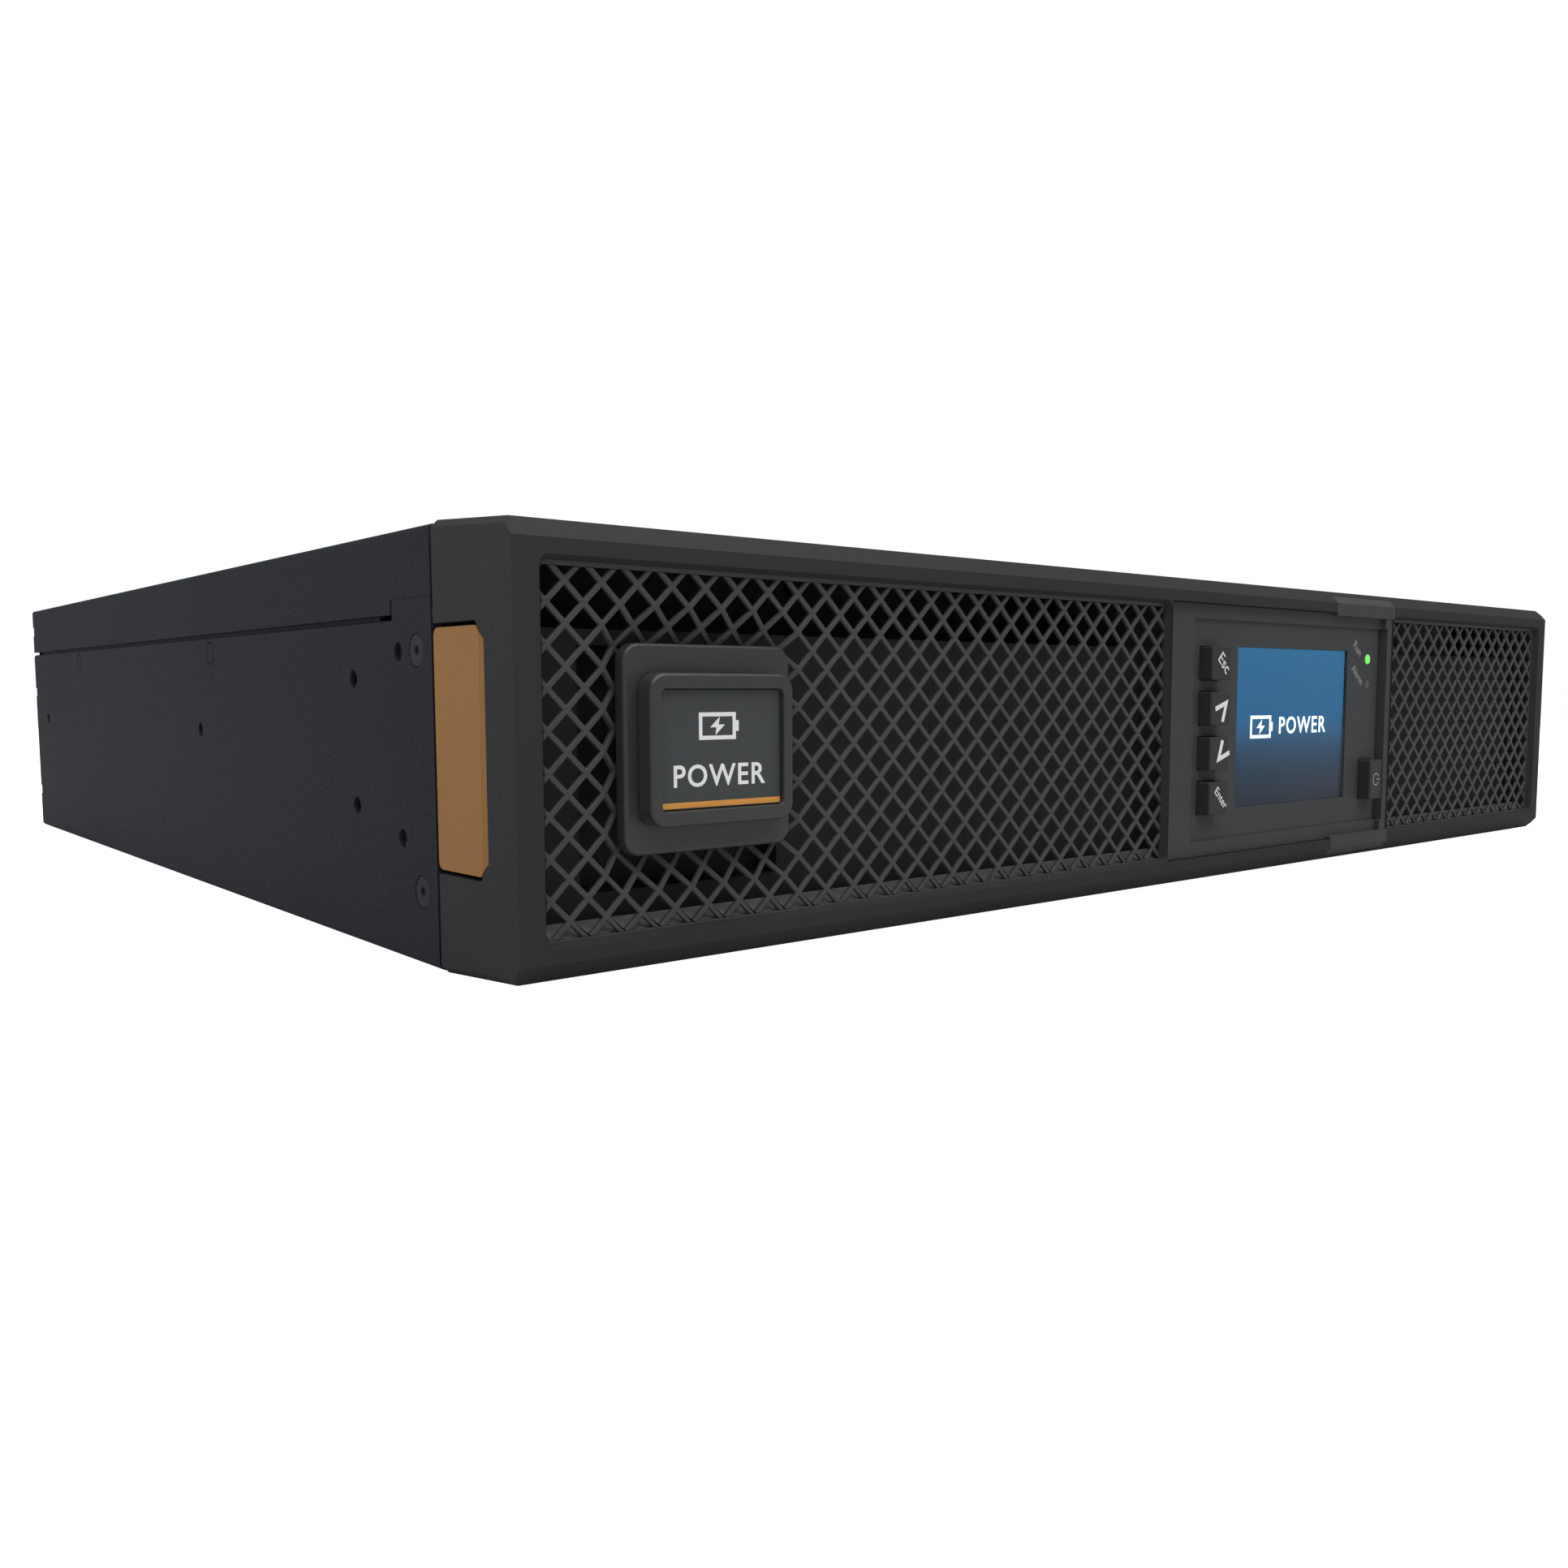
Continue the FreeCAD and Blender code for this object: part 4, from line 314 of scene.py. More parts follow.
laminate = circuit_laminate()
extruded_aluminium = streaked("extruded aluminium", (0.48, 0.49, 0.50), (0.62, 0.63, 0.64), 0.34,
                              (900.0, 12.0, 900.0), 0.03, 1.0)
shrink_sleeve = grained("dark blue shrink sleeve", (0.012, 0.020, 0.075), (0.018, 0.028, 0.095), 0.25, 2.0,
                        0.02)
enamelled_copper = streaked("enamelled copper turns", (0.30, 0.10, 0.03), (0.60, 0.26, 0.10), 0.3,
                            (900.0, 900.0, 900.0), 0.15, 0.8)
ferrite = grained("ferrite and tape", (0.022, 0.022, 0.023), (0.035, 0.034, 0.032), 0.55, 1.4, 0.08)
relay_cover = grained("relay cover", (0.50, 0.50, 0.47), (0.58, 0.58, 0.55), 0.35, 1.2, 0.03)
for board in ("power_board", "control_board", "display_board"):
    eased_copy(board, laminate, 0.1, 1)
eased_copy("board_standoffs", tinned_brass, 0.1, 1)
for sink in ("rectifier_heat_sink", "inverter_heat_sink"):
    eased_copy(sink, extruded_aluminium, 0.2, 1)
eased_copy("bus_capacitors", shrink_sleeve, 0.3)
paint_node("power_inductors", enamelled_copper, 60)
eased_copy("transformer", ferrite, 0.5)
eased_copy("relays", relay_cover, 0.6)
eased_copy("control_headers", black_nylon, 0.2, 1)

# ================================================================ sockets and ports
# Black nylon couplers snap into the rear wall: six outlets and one inlet, a resettable
# breaker, a data port, a network port, a green contact block and a battery cabinet socket.
green_block = grained("green terminal plastic", (0.010, 0.130, 0.045), (0.014, 0.160, 0.058), 0.42, 1.0, 0.03)
light_cap = grained("pale push cap", (0.50, 0.50, 0.49), (0.58, 0.58, 0.57), 0.4, 1.0, 0.02)
for node in ("outlet_sockets", "inlet_socket", "external_battery_port", "network_port"):
    eased_copy(node, black_nylon, 0.2)
eased_copy("breaker_body", black_nylon, 0.15, 1)
eased_copy("breaker_nut", tinned_brass, 0.2)
paint_node("breaker_button", light_cap, 50)
eased_copy("usb_port", zinc_sheet, 0.15)
eased_copy("terminal_block", green_block, 0.12, 1)

# ================================================================ fans
# Two 60 mm axial fans of glass-filled plastic behind chromed wire guards.
fan_plastic = grained("glass-filled fan plastic", (0.016, 0.016, 0.017), (0.024, 0.024, 0.026), 0.45, 0.9,
                      0.06)
chromed_wire = grained("chromed wire", (0.55, 0.56, 0.57), (0.66, 0.67, 0.68), 0.18, 0.8, 0.01,
                       metallic=1.0)
eased_copy("fan_frames", fan_plastic, 0.3)
for rotor in ("fan_rotor_inner", "fan_rotor_outer"):
    eased_copy(rotor, fan_plastic, 0.2, 1)
paint_node("fan_guards", chromed_wire, 50)

# ================================================================ bezel
# One injection moulding in finely textured charcoal ABS. Its front edges are bevelled, its
# mould corners are slightly rounded, and it slides over the front of the case.
bezel_abs = grained("bezel ABS", (0.0335, 0.0345, 0.036), (0.0365, 0.0375, 0.039), 0.6, 0.8, 0.03,
                    specular=0.06)
eased_copy("bezel_frame", bezel_abs, 0.35)

# ================================================================ expanded mesh
# Each grille is one sheet of diamond mesh, coated satin grey, that is clamped behind the
# bezel's window. Around the badge the strands are pressed back into a shallow well, and a
# sloped sill lies behind the mesh's foot. The sill is coloured lighter than the mesh as painted
# light, standing for the top light that falls on it. Sizes are in millimetres.
PITCH = 7.6
STRAND = 1.05
SHEET = 1.0
RIM = 2.2
MARGIN = RIM + 0.3
END_STRIP = 0.5
TOP_STRIP = 0.8
WELL_DEEP = 4.0
WELL_HALF = (3.0 * PITCH, 3.5 * PITCH)
WELL_FLOOR_HALF = (16.5, 17.5)
WELL_HOLE_HALF = (16.0, 17.0)
SILL_DEEP = 3.0
SILL_FRONT_HIGH = 1.8
SILL_BACK_EXTRA = 2.4

badge_low, badge_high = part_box("badge_mount")
badge_centre_x = (badge_low.x + badge_high.x) / 2
frame_low, frame_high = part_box("bezel_frame")
mesh_centre_z = (frame_low.z + frame_high.z) / 2


def diamond_lattice(name, low, high, front_y):
    """A flat lattice of diamond strands that fills a window, with its crossings lined up on the badge."""
    side = PITCH * MM / math.sqrt(2)
    reach = (high.x - low.x) + (high.z - low.z)
    cells = 2 * math.ceil(reach / side / 2) + 2
    bpy.ops.object.select_all(action="DESELECT")
    bpy.ops.mesh.primitive_grid_add(x_subdivisions=cells, y_subdivisions=cells, size=cells * side)
    obj = bpy.context.active_object
    obj.name = name
    steps = round(((low.x + high.x) / 2 - badge_centre_x) / (PITCH * MM))
    centre_x = badge_centre_x + steps * PITCH * MM
    obj.rotation_euler = (math.radians(90), math.radians(45), 0)
    obj.location = (centre_x, front_y, mesh_centre_z)
    bpy.ops.object.transform_apply(location=True, rotation=True, scale=True)
    bpy.ops.object.mode_set(mode="EDIT")
    bpy.ops.mesh.select_all(action="SELECT")
    bpy.ops.mesh.inset(thickness=STRAND * MM / 2, use_individual=True)
    bpy.ops.mesh.delete(type="FACE")
    cuts = (((low.x, 0, 0), (-1, 0, 0)), ((high.x, 0, 0), (1, 0, 0)),
            ((0, 0, low.z), (0, 0, -1)), ((0, 0, high.z), (0, 0, 1)))
    for point, normal in cuts:
        bpy.ops.mesh.select_all(action="SELECT")
        bpy.ops.mesh.bisect(plane_co=point, plane_no=normal, clear_outer=True, clear_inner=False)
    bpy.ops.object.mode_set(mode="OBJECT")
    return obj


def plain_bar(x, y, z, ease=0.15):
    """A bar between two x, two y and two z values in metres, with eased edges."""
    bpy.ops.object.select_all(action="DESELECT")
    bpy.ops.mesh.primitive_cube_add(size=1.0)
    obj = bpy.context.active_object
    obj.scale = (x[1] - x[0], y[1] - y[0], z[1] - z[0])
    obj.location = ((x[0] + x[1]) / 2, (y[0] + y[1]) / 2, (z[0] + z[1]) / 2)
    bpy.ops.object.transform_apply(location=True, rotation=True, scale=True)
    bevel = obj.modifiers.new("eased edges", "BEVEL")
    bevel.width = ease * MM
    bevel.segments = 2
    bpy.ops.object.modifier_apply(modifier=bevel.name)
    return obj


def press_well(obj):
    """Pushes the strands back around the badge, deepest at the badge's boss."""
    half_w, half_h = (size * MM for size in WELL_HALF)
    floor_w, floor_h = (size * MM for size in WELL_FLOOR_HALF)
    for vertex in obj.data.vertices:
        across = (half_w - abs(vertex.co.x - badge_centre_x)) / (half_w - floor_w)
        up = (half_h - abs(vertex.co.z - mesh_centre_z)) / (half_h - floor_h)
        vertex.co.y += WELL_DEEP * MM * max(0.0, min(1.0, across, up))


def delete_inside(obj, x, z):
    """Removes the faces whose centres lie inside a rectangle."""
    only(obj)
    bpy.ops.object.mode_set(mode="EDIT")
    bpy.ops.mesh.select_all(action="DESELECT")
    bpy.ops.object.mode_set(mode="OBJECT")
    for polygon in obj.data.polygons:
        centre = polygon.center
        polygon.select = x[0] < centre.x < x[1] and z[0] < centre.z < z[1]
    bpy.ops.object.mode_set(mode="EDIT")
    bpy.ops.mesh.select_mode(type="FACE")
    bpy.ops.mesh.delete(type="FACE")
    bpy.ops.object.mode_set(mode="OBJECT")


def merged(parts, name):
    """Joins objects into the first one."""
    bpy.ops.object.select_all(action="DESELECT")
    for part in parts:
        part.select_set(True)
    bpy.context.view_layer.objects.active = parts[0]
    bpy.ops.object.join()
    parts[0].name = name
    return parts[0]


mesh_coat = grained("satin mesh coat", (0.056, 0.058, 0.061), (0.062, 0.064, 0.067), 0.5, 0.7, 0.04)
# The sill's coat is about three times lighter than the mesh coat. This is painted light for the top light on
# the sill, not a lighter paint.
sill_painted_light_coat = grained("sill coat with painted top light", (0.150, 0.156, 0.162), (0.165, 0.171, 0.178), 0.5, 0.7, 0.03)


def thickened(sheet):
    """Gives a flat lattice its thickness, backwards, and eases the edges of its strands."""
    thick = sheet.modifiers.new("sheet thickness", "SOLIDIFY")
    thick.thickness = SHEET * MM
    thick.offset = -1
    only(sheet)
    bpy.ops.object.modifier_apply(modifier=thick.name)
    bevel = sheet.modifiers.new("pressed edges", "BEVEL")
    bevel.width = 0.22 * MM
    bevel.segments = 1
    bevel.limit_method = "ANGLE"
    bevel.angle_limit = math.radians(40)
    bpy.ops.object.modifier_apply(modifier=bevel.name)
    return sheet


def add_sill(x, y, foot):
    """The sloped sill behind the foot of the mesh: a bar whose top face leans up to the back."""
    bar = plain_bar(x, y, (foot, foot + SILL_FRONT_HIGH * MM))
    for vertex in bar.data.vertices:
        if vertex.co.z > foot + SILL_FRONT_HIGH * MM / 2 and vertex.co.y > (y[0] + y[1]) / 2:
            vertex.co.z += SILL_BACK_EXTRA * MM
    return bar


def grille(node, left_margin, right_margin, with_well):
    """One mesh panel: lattice, plain margins, and the sloped sill along its foot."""
    low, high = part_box(node)
    hole_low = Vector((low.x + left_margin * MM, low.y, low.z + MARGIN * MM))
    hole_high = Vector((high.x - right_margin * MM, low.y, high.z - (RIM + TOP_STRIP) * MM))
    lattice = diamond_lattice(node + "_strands", hole_low, hole_high, low.y)
    if with_well:
        hole_w, hole_h = (size * MM for size in WELL_HOLE_HALF)
        delete_inside(lattice, (badge_centre_x - hole_w, badge_centre_x + hole_w),
                      (mesh_centre_z - hole_h, mesh_centre_z + hole_h))
        press_well(lattice)
    depth = (low.y, low.y + SHEET * MM)
    margins = [
        plain_bar((low.x, hole_low.x), depth, (low.z, high.z)),
        plain_bar((hole_high.x, high.x), depth, (low.z, high.z)),
        plain_bar((hole_low.x, hole_high.x), depth, (low.z, hole_low.z)),
        plain_bar((hole_low.x, hole_high.x), depth, (hole_high.z, high.z)),
    ]
    sill_x = (hole_low.x + END_STRIP * MM, hole_high.x - END_STRIP * MM)
    sill_y = (depth[1], depth[1] + SILL_DEEP * MM)
    panel = merged([thickened(lattice)] + margins, node + "_mesh")
    finished(panel, body_of(node), mesh_coat)
    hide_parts(node)
    sill = add_sill(sill_x, sill_y, low.z + 0.6 * MM)
    sill.name = node + "_sill"
    # The sill gets the coat that is painted lighter to stand for the top light falling on it.
    finished(sill, body_of(node), sill_painted_light_coat)


grille("left_grille", MARGIN, END_STRIP, True)
grille("right_grille", END_STRIP, MARGIN, False)

# ================================================================ badge
# A rounded block that turns by a quarter on its mount, so that its label reads upright in
# a rack or in a tower. The label is a printed plate with an orange line along its foot.
badge_gloss = grained("badge satin ABS", (0.036, 0.037, 0.038), (0.040, 0.041, 0.042), 0.34, 0.8, 0.004,
                      specular=0.4)
label_print = grained("label print base", (0.054, 0.060, 0.0625), (0.058, 0.064, 0.0665), 0.5, 0.8, 0.004)
eased_copy("badge_mount", badge_gloss, 0.4, 3)
eased_copy("badge_block", badge_gloss, 0.4, 3)
eased_copy("badge_label", label_print, 0.1, 1)


def printed_ink(name, colour, glow=0.0):
    """Screen-printed ink: even colour with a faint mottle, and a glow where it is lit from behind."""
    mottle = tuple(0.94 * channel for channel in colour)
    material = grained(name, mottle, colour, 0.45, 0.6, 0.01)
    if glow:
        shader = material.node_tree.nodes["Principled BSDF"]
        shader.inputs["Emission Color"].default_value = (*colour, 1)
        shader.inputs["Emission Strength"].default_value = glow
    return material


def lay_on_front(obj, x, z, y, turn=0.0):
    """Stands a flat mesh drawn in millimetres upright, facing the front, at a place on the face."""
    obj.rotation_euler = (math.radians(90), math.radians(turn), 0)
    obj.scale = (MM, MM, MM)
    obj.location = (x, y, z)
    return obj


def flat_outline(points, thick=0.04):
    """A thin plate with a given outline in millimetres, drawn flat."""
    bpy.ops.object.select_all(action="DESELECT")
    bpy.ops.mesh.primitive_plane_add(size=1.0)
    obj = bpy.context.active_object
    mesh = bpy.data.meshes.new("outline")
    mesh.from_pydata([(px, py, 0.0) for px, py in points], [], [tuple(range(len(points)))])
    obj.data = mesh
    only(obj)
    bpy.ops.object.mode_set(mode="EDIT")
    bpy.ops.mesh.select_all(action="SELECT")
    bpy.ops.mesh.extrude_region_move(TRANSFORM_OT_translate={"value": (0, 0, thick)})
    bpy.ops.mesh.select_all(action="SELECT")
    bpy.ops.mesh.normals_make_consistent(inside=False)
    bpy.ops.object.mode_set(mode="OBJECT")
    return obj


def lettering(words, size, weight=0.0, spacing=1.0, thick=0.04):
    """Printed words as a thin mesh, centred on the origin, in millimetres."""
    bpy.ops.object.select_all(action="DESELECT")
    bpy.ops.object.text_add()
    obj = bpy.context.active_object
    obj.data.body = words
    obj.data.size = size
    obj.data.space_character = spacing
    obj.data.align_x = "CENTER"
    obj.data.align_y = "CENTER"
    obj.data.offset = weight
    obj.data.extrude = thick / 2
    obj.data.resolution_u = 4
    only(obj)
    bpy.ops.object.convert(target="MESH")
    return obj


def ring_outline(width, height, line):
    """Four bars that make a rectangular outline."""
    w = width / 2
    h = height / 2
    return [
        [(-w, -h), (w, -h), (w, -h + line), (-w, -h + line)],
        [(-w, h - line), (w, h - line), (w, h), (-w, h)],
        [(-w, -h + line), (-w + line, -h + line), (-w + line, h - line), (-w, h - line)],
        [(w - line, -h + line), (w, -h + line), (w, h - line), (w - line, h - line)],
    ]


def battery_sign(size):
    """A plain battery sign: a cell outline with a contact and a charge mark inside."""
    height = 0.6 * size
    outlines = ring_outline(size, height, 0.09 * size)
    outlines.append([(size / 2, -0.12 * size), (0.58 * size, -0.12 * size),
                     (0.58 * size, 0.12 * size), (size / 2, 0.12 * size)])
    bolt = [(0.06, 0.20), (-0.20, -0.03), (-0.03, -0.03), (-0.06, -0.20), (0.20, 0.03), (0.03, 0.03)]
    outlines.append([(size * px, size * pz) for px, pz in bolt])
    return merged([flat_outline(points) for points in outlines], "battery sign")


label_low, label_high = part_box("badge_label")
label_face = label_low.y
ink_white = printed_ink("white ink", (0.85, 0.85, 0.85))
ink_orange = printed_ink("orange ink", (0.72, 0.33, 0.075))


def print_on(obj, name, x, z, y, body, ink, turn=0.0):
    """Places a printed mark on a front face and gives it its ink."""
    lay_on_front(obj, x, z, y, turn)
    obj.name = name
    return finished(obj, body, ink)


label_x = (label_low.x + label_high.x) / 2
label_z = (label_low.z + label_high.z) / 2
print_on(battery_sign(8.6), "badge_sign", label_x - 1.0 * MM, label_z + 4.3 * MM, label_face,
         "badge", ink_white)
badge_word = lettering("POWER", 5.8, 0.09, 1.12)
print_on(badge_word, "badge_word", label_x - 0.6 * MM, label_z - 5.2 * MM, label_face,
         "badge", ink_white)
line = [(-14.0, -0.55), (14.0, -0.55), (14.0, 0.55), (-14.0, 0.55)]
print_on(flat_outline(line), "badge_line", label_x, label_low.z + 0.8 * MM, label_face,
         "badge", ink_orange)

# ================================================================ display
# A housing with a colour screen, four menu keys, a power key and two status lights. Key
# legends are printed at forty-five degrees so that they read in a rack and in a tower.
display_abs = grained("display ABS", (0.052, 0.054, 0.056), (0.056, 0.058, 0.060), 0.6, 0.7, 0.02,
                      specular=0.15)
key_cap = grained("key cap", (0.030, 0.0305, 0.031), (0.034, 0.0345, 0.035), 0.5, 0.7, 0.02)
eased_copy("display_housing", display_abs, 0.2)
eased_copy("display_plug", black_nylon, 0.3)
eased_copy("display_socket", black_nylon, 0.3)
for key in ("esc_button", "up_button", "down_button", "enter_button"):
    eased_copy(key, key_cap, 0.2)
eased_copy("power_button", key_cap, 0.2)


def screen_picture():
    """The start picture of the screen: a blue field that darkens to slate towards its foot."""
    low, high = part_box("screen_panel")
    material = bpy.data.materials.new("screen picture")
    material.use_nodes = True
    tree = material.node_tree
    shader = tree.nodes["Principled BSDF"]
    place = add(tree, "ShaderNodeTexCoord")
    axes = add(tree, "ShaderNodeSeparateXYZ", {"Vector": (place, "Object")})
    height = add(tree, "ShaderNodeMapRange", {"Value": (axes, "Z"), "From Min": low.z + 3 * MM,
                                              "From Max": high.z - 3 * MM})
    ramp = add(tree, "ShaderNodeValToRGB", {"Fac": (height, "Result")})
    ramp.color_ramp.elements[0].color = (0.015, 0.022, 0.035, 1)
    ramp.color_ramp.elements[1].color = (0.036, 0.168, 0.335, 1)
    for place_on_ramp, colour in ((0.22, (0.019, 0.042, 0.074)), (0.36, (0.024, 0.072, 0.140)),
                                  (0.55, (0.032, 0.145, 0.300))):
        ramp.color_ramp.elements.new(place_on_ramp).color = (*colour, 1)
    tree.links.new(ramp.outputs["Color"], shader.inputs["Emission Color"])
    shader.inputs["Emission Strength"].default_value = 0.85
    shader.inputs["Specular IOR Level"].default_value = 0.03
    dim = add(tree, "ShaderNodeMix", {6: (ramp, "Color"), 0: 0.9}, data_type="RGBA")
    dim.inputs[7].default_value = (0.0, 0.0, 0.0, 1)
    tree.links.new(dim.outputs[2], shader.inputs["Base Color"])
    fine = add(tree, "ShaderNodeTexNoise", {"Vector": (place, "Object"), "Scale": 200.0})
    gloss = add(tree, "ShaderNodeMapRange", {"Value": (fine, "Fac"), "To Min": 0.40, "To Max": 0.45})
    tree.links.new(gloss.outputs["Result"], shader.inputs["Roughness"])
    return material


def clear_lens():
    """Clear acrylic with a faint unevenness in its gloss."""
    material = bpy.data.materials.new("clear acrylic")
    material.use_nodes = True
    tree = material.node_tree
    shader = tree.nodes["Principled BSDF"]
    shader.inputs["Transmission Weight"].default_value = 1.0
    shader.inputs["IOR"].default_value = 1.12
    shader.inputs["Base Color"].default_value = (0.97, 0.98, 1.0, 1)
    place = add(tree, "ShaderNodeTexCoord")
    haze = add(tree, "ShaderNodeTexNoise", {"Vector": (place, "Object"), "Scale": 90.0})
    gloss = add(tree, "ShaderNodeMapRange", {"Value": (haze, "Fac"), "To Min": 0.0, "To Max": 0.02})
    tree.links.new(gloss.outputs["Result"], shader.inputs["Roughness"])
    return material


paint_node("screen_panel", screen_picture())
paint_node("screen_lens", clear_lens())
lens_low, lens_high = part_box("screen_lens")
screen_face = lens_high.y + 0.02 * MM
ink_screen = printed_ink("screen white", (0.80, 0.88, 0.92), 0.7)
screen_middle_z = (lens_low.z + lens_high.z) / 2
print_on(battery_sign(11.0), "screen_sign", lens_low.x + 13.9 * MM, screen_middle_z, screen_face,
         "bezel", ink_screen)
screen_word = lettering("POWER", 7.0, 0.08, 1.16)
print_on(screen_word, "screen_word", lens_low.x + 36.7 * MM, screen_middle_z, screen_face,
         "bezel", ink_screen)

# Legends: words and arrows in pale ink, turned on the keys and beside the lights, a little
# right of the middle of each key.
SLANT = 45.0
ink_key = printed_ink("pale key ink", (0.80, 0.80, 0.80))
ink_panel = printed_ink("grey panel ink", (0.30, 0.30, 0.30))


def key_centre(node):
    low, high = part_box(node)
    return (low.x + high.x) / 2, (low.z + high.z) / 2, low.y


LEGEND_RIGHT = 1.0 * MM
for key, word, size in (("esc_button", "Esc", 4.7), ("enter_button", "Enter", 3.3)):
    x, z, y = key_centre(key)
    print_on(lettering(word, size, 0.02), key + "_word", x + LEGEND_RIGHT, z, y, body_of(key),
             ink_key, SLANT)

arrow = [(-3.0, -2.3), (-1.9, -3.0), (0.0, 0.9), (1.9, -3.0), (3.0, -2.3), (0.0, 3.5)]
for key, turn in (("up_button", SLANT), ("down_button", SLANT + 180.0)):
    x, z, y = key_centre(key)
    print_on(flat_outline(arrow), key + "_arrow", x + LEGEND_RIGHT, z, y, body_of(key),
             ink_key, turn)


def power_sign(radius, line):
    """The common power sign: an open ring with a bar in its gap."""
    outlines = []
    steps = 20
    gap = math.radians(34)
    for i in range(steps):
        a = math.pi / 2 + gap + i * (2 * math.pi - 2 * gap) / steps
        b = math.pi / 2 + gap + (i + 1) * (2 * math.pi - 2 * gap) / steps
        corners = ((radius, a), (radius, b), (radius - line, b), (radius - line, a))
        outlines.append([(reach * math.cos(turn), reach * math.sin(turn)) for reach, turn in corners])
    outlines.append([(-line / 2, 0.3 * radius), (line / 2, 0.3 * radius),
                     (line / 2, 1.1 * radius), (-line / 2, 1.1 * radius)])
    return merged([flat_outline(points) for points in outlines], "power sign")


x, z, y = key_centre("power_button")
print_on(power_sign(2.0, 0.4), "power_mark", x, z, y, "power_key", ink_panel, SLANT + 45.0)

lights_low, lights_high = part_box("status_lights")
panel_face = lights_low.y - 0.1 * MM
light_x = (lights_low.x + lights_high.x) / 2
panel_print = panel_face + 0.18 * MM
print_on(lettering("Run", 3.6, 0.02), "run_word", light_x - 6.6 * MM, lights_high.z + 1.7 * MM,
         panel_print, "bezel", ink_panel, SLANT - 5)
print_on(lettering("Alarm", 3.2, 0.02), "alarm_word", light_x - 6.2 * MM, lights_low.z + 4.4 * MM,
         panel_print, "bezel", ink_panel, SLANT - 5)


def light_guides():
    """Two light guides: the upper one lit green, the lower one dark, told apart by their height."""
    material = bpy.data.materials.new("light guides")
    material.use_nodes = True
    tree = material.node_tree
    shader = tree.nodes["Principled BSDF"]
    place = add(tree, "ShaderNodeTexCoord")
    axes = add(tree, "ShaderNodeSeparateXYZ", {"Vector": (place, "Object")})
    middle = (lights_low.z + lights_high.z) / 2
    lit = add(tree, "ShaderNodeMath", {0: (axes, "Z"), 1: middle}, operation="GREATER_THAN")
    core = add(tree, "ShaderNodeTexNoise", {"Vector": (place, "Object"), "Scale": 900.0})
    colours = add(tree, "ShaderNodeMix", {0: (lit, 0)}, data_type="RGBA")
    colours.inputs[6].default_value = (0.060, 0.062, 0.064, 1)
    colours.inputs[7].default_value = (0.12, 0.60, 0.12, 1)
    tree.links.new(colours.outputs[2], shader.inputs["Base Color"])
    glow = add(tree, "ShaderNodeMix", {0: (lit, 0)}, data_type="RGBA")
    glow.inputs[6].default_value = (0.0, 0.0, 0.0, 1)
    glow.inputs[7].default_value = (0.16, 0.55, 0.10, 1)
    tree.links.new(glow.outputs[2], shader.inputs["Emission Color"])
    shader.inputs["Emission Strength"].default_value = 0.9
    gloss = add(tree, "ShaderNodeMapRange", {"Value": (core, "Fac"), "To Min": 0.2, "To Max": 0.4})
    tree.links.new(gloss.outputs["Result"], shader.inputs["Roughness"])
    return material


paint_node("status_lights", light_guides(), 40)

# ================================================================ side latches
# Orange finger pads, one in each side of the bezel, that are squeezed to release it.
latch_orange = grained("orange grip plastic", (0.316, 0.156, 0.053), (0.347, 0.174, 0.061), 0.6, 1.4, 0.06,
                       specular=0.1)
eased_copy("left_latch", latch_orange, 0.25, 3)
eased_copy("right_latch", latch_orange, 0.25, 3)

# ================================================================ stage
# A plain white floor under an even white sky, with one large soft light above and a small
# cool one behind the left side.
FLOOR_GLOW = 1.0


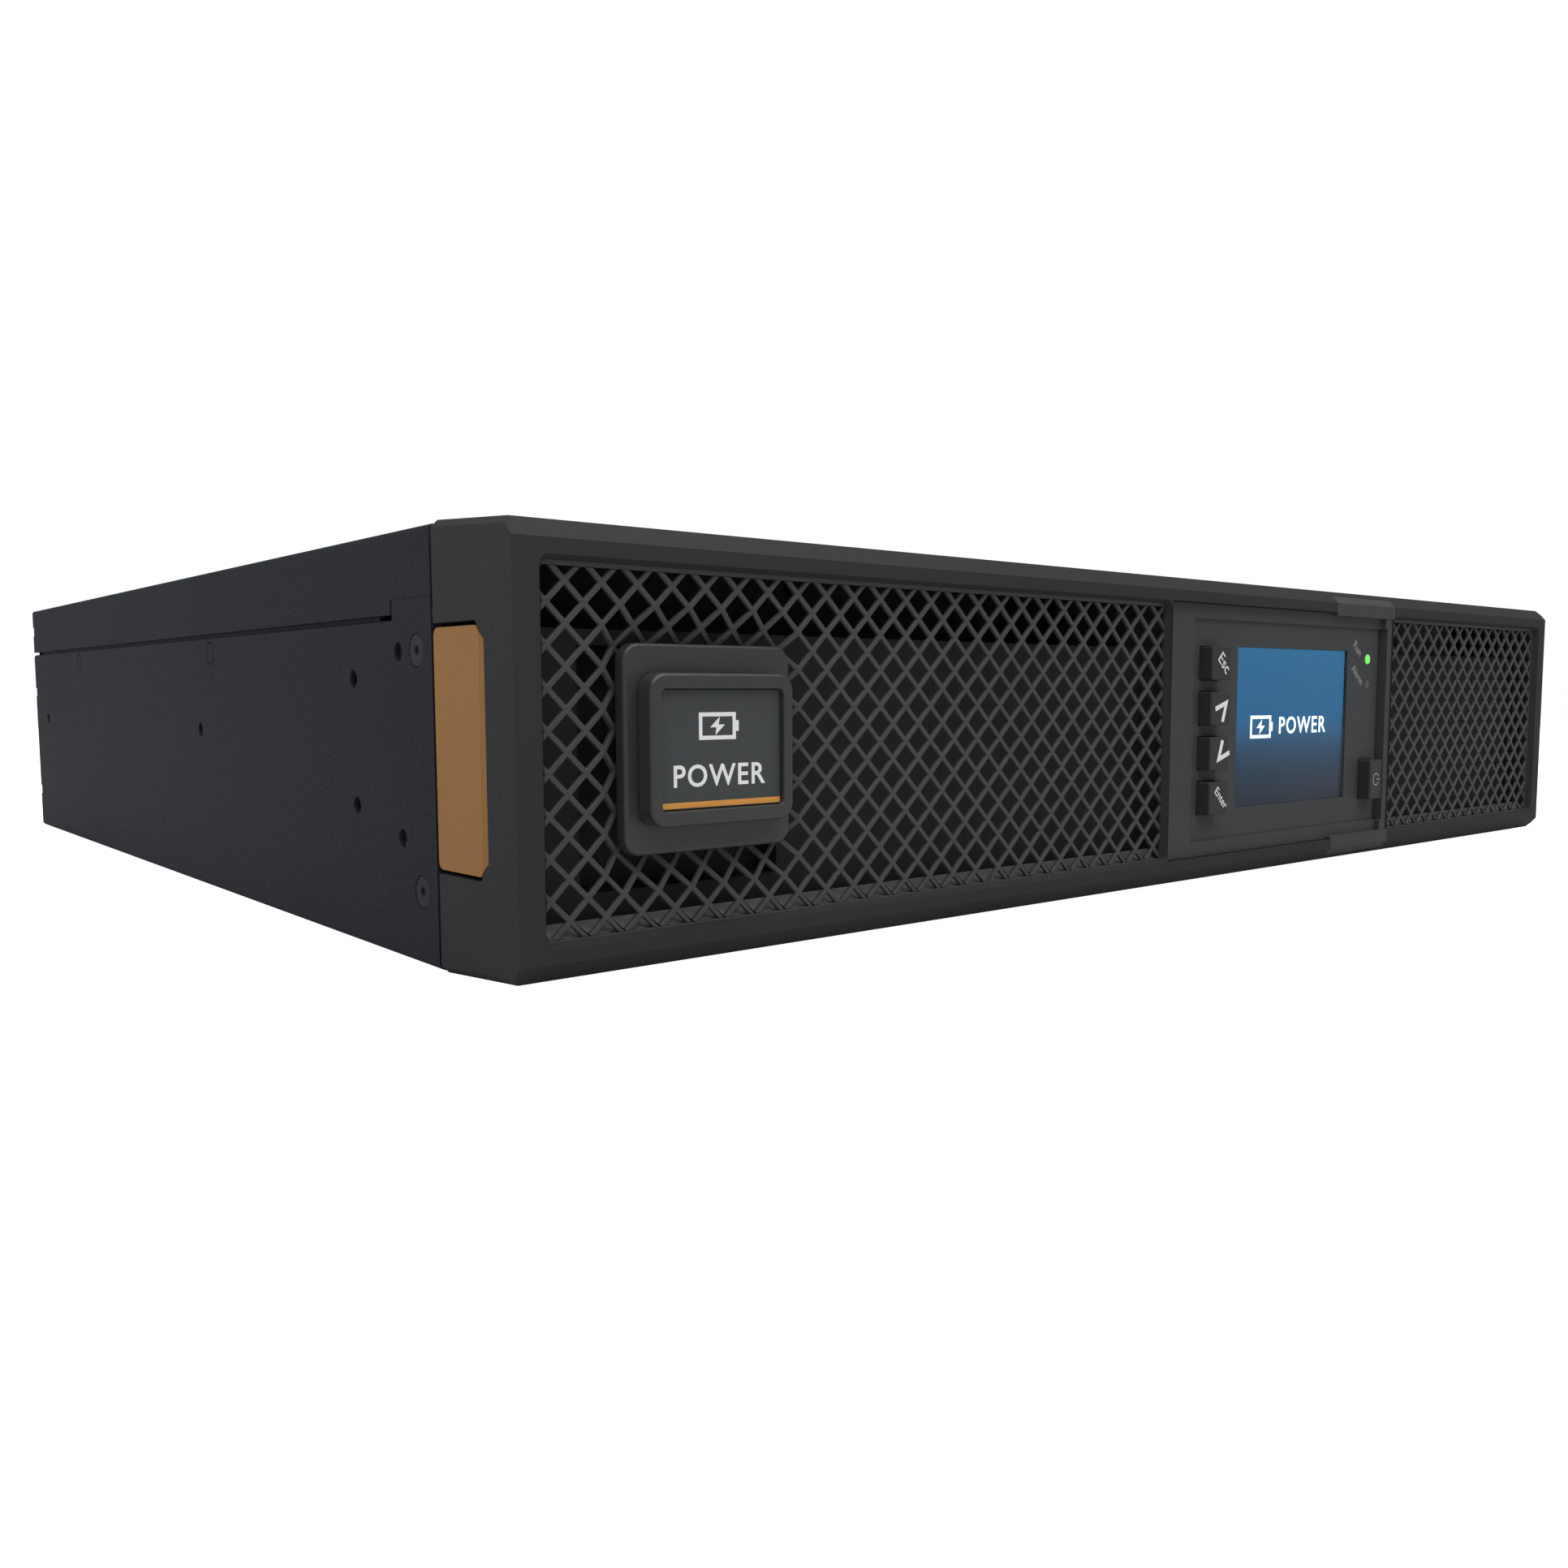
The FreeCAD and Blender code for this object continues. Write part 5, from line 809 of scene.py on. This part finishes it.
def studio_floor():
    """Matt white floor with a barely visible unevenness, that looks white in a soft light."""
    bpy.ops.object.select_all(action="DESELECT")
    bpy.ops.mesh.primitive_plane_add(size=3.6)
    floor = bpy.context.active_object
    floor.name = "studio_floor"
    material = grained("white floor", (0.60, 0.60, 0.60), (0.62, 0.62, 0.62), 0.8, 3.0, 0.01)
    tree = material.node_tree
    shader = tree.nodes["Principled BSDF"]
    seen = add(tree, "ShaderNodeLightPath")
    shader.inputs["Emission Color"].default_value = (1, 1, 1, 1)
    glow = add(tree, "ShaderNodeMath", {0: (seen, "Is Camera Ray"), 1: FLOOR_GLOW}, operation="MULTIPLY")
    tree.links.new(glow.outputs["Value"], shader.inputs["Emission Strength"])
    floor.data.materials.append(material)
    return floor


studio_floor()
world = bpy.data.worlds.new("even sky")
bpy.context.scene.world = world
world.use_nodes = True
sky = world.node_tree.nodes["Background"]
sky.inputs["Color"].default_value = (1, 1, 1, 1)
seen = add(world.node_tree, "ShaderNodeLightPath")
brightness = add(world.node_tree, "ShaderNodeMapRange",
                 {"Value": (seen, "Is Camera Ray"), "To Min": 0.30, "To Max": 1.0})
world.node_tree.links.new(brightness.outputs["Result"], sky.inputs["Strength"])


def soft_light(name, place, aim, size, power):
    """A large square lamp pointed at a place."""
    data = bpy.data.lights.new(name, "AREA")
    data.shape = "SQUARE"
    data.size = size
    data.energy = power
    lamp = bpy.data.objects.new(name, data)
    bpy.context.scene.collection.objects.link(lamp)
    lamp.location = place
    lamp.rotation_euler = (Vector(aim) - Vector(place)).to_track_quat("-Z", "Y").to_euler()
    return lamp


soft_light("overhead", (-0.2, -0.8, 2.6), (-0.1, -0.2, 0.0), 3.8, 116.0)
side_lamp = soft_light("left rear", (-0.9, 0.7, 0.35), (-0.2, 0.15, 0.04), 0.5, 1.8)
side_lamp.data.color = (0.80, 0.90, 1.0)

camera_data = bpy.data.cameras.new("camera")
camera_data.lens = 30.56
camera_data.sensor_width = 36.0
camera_data.shift_x = -0.0298
camera_data.shift_y = 0.0159
camera_data.clip_start = 0.01
camera = bpy.data.objects.new("camera", camera_data)
bpy.context.scene.collection.objects.link(camera)
camera.location = (-0.3214, -0.4061, 0.0536)
camera.rotation_euler = (math.radians(90 - 5.09), 0, math.radians(-40.72))
bpy.context.scene.camera = camera
bpy.context.scene.view_settings.view_transform = "Standard"
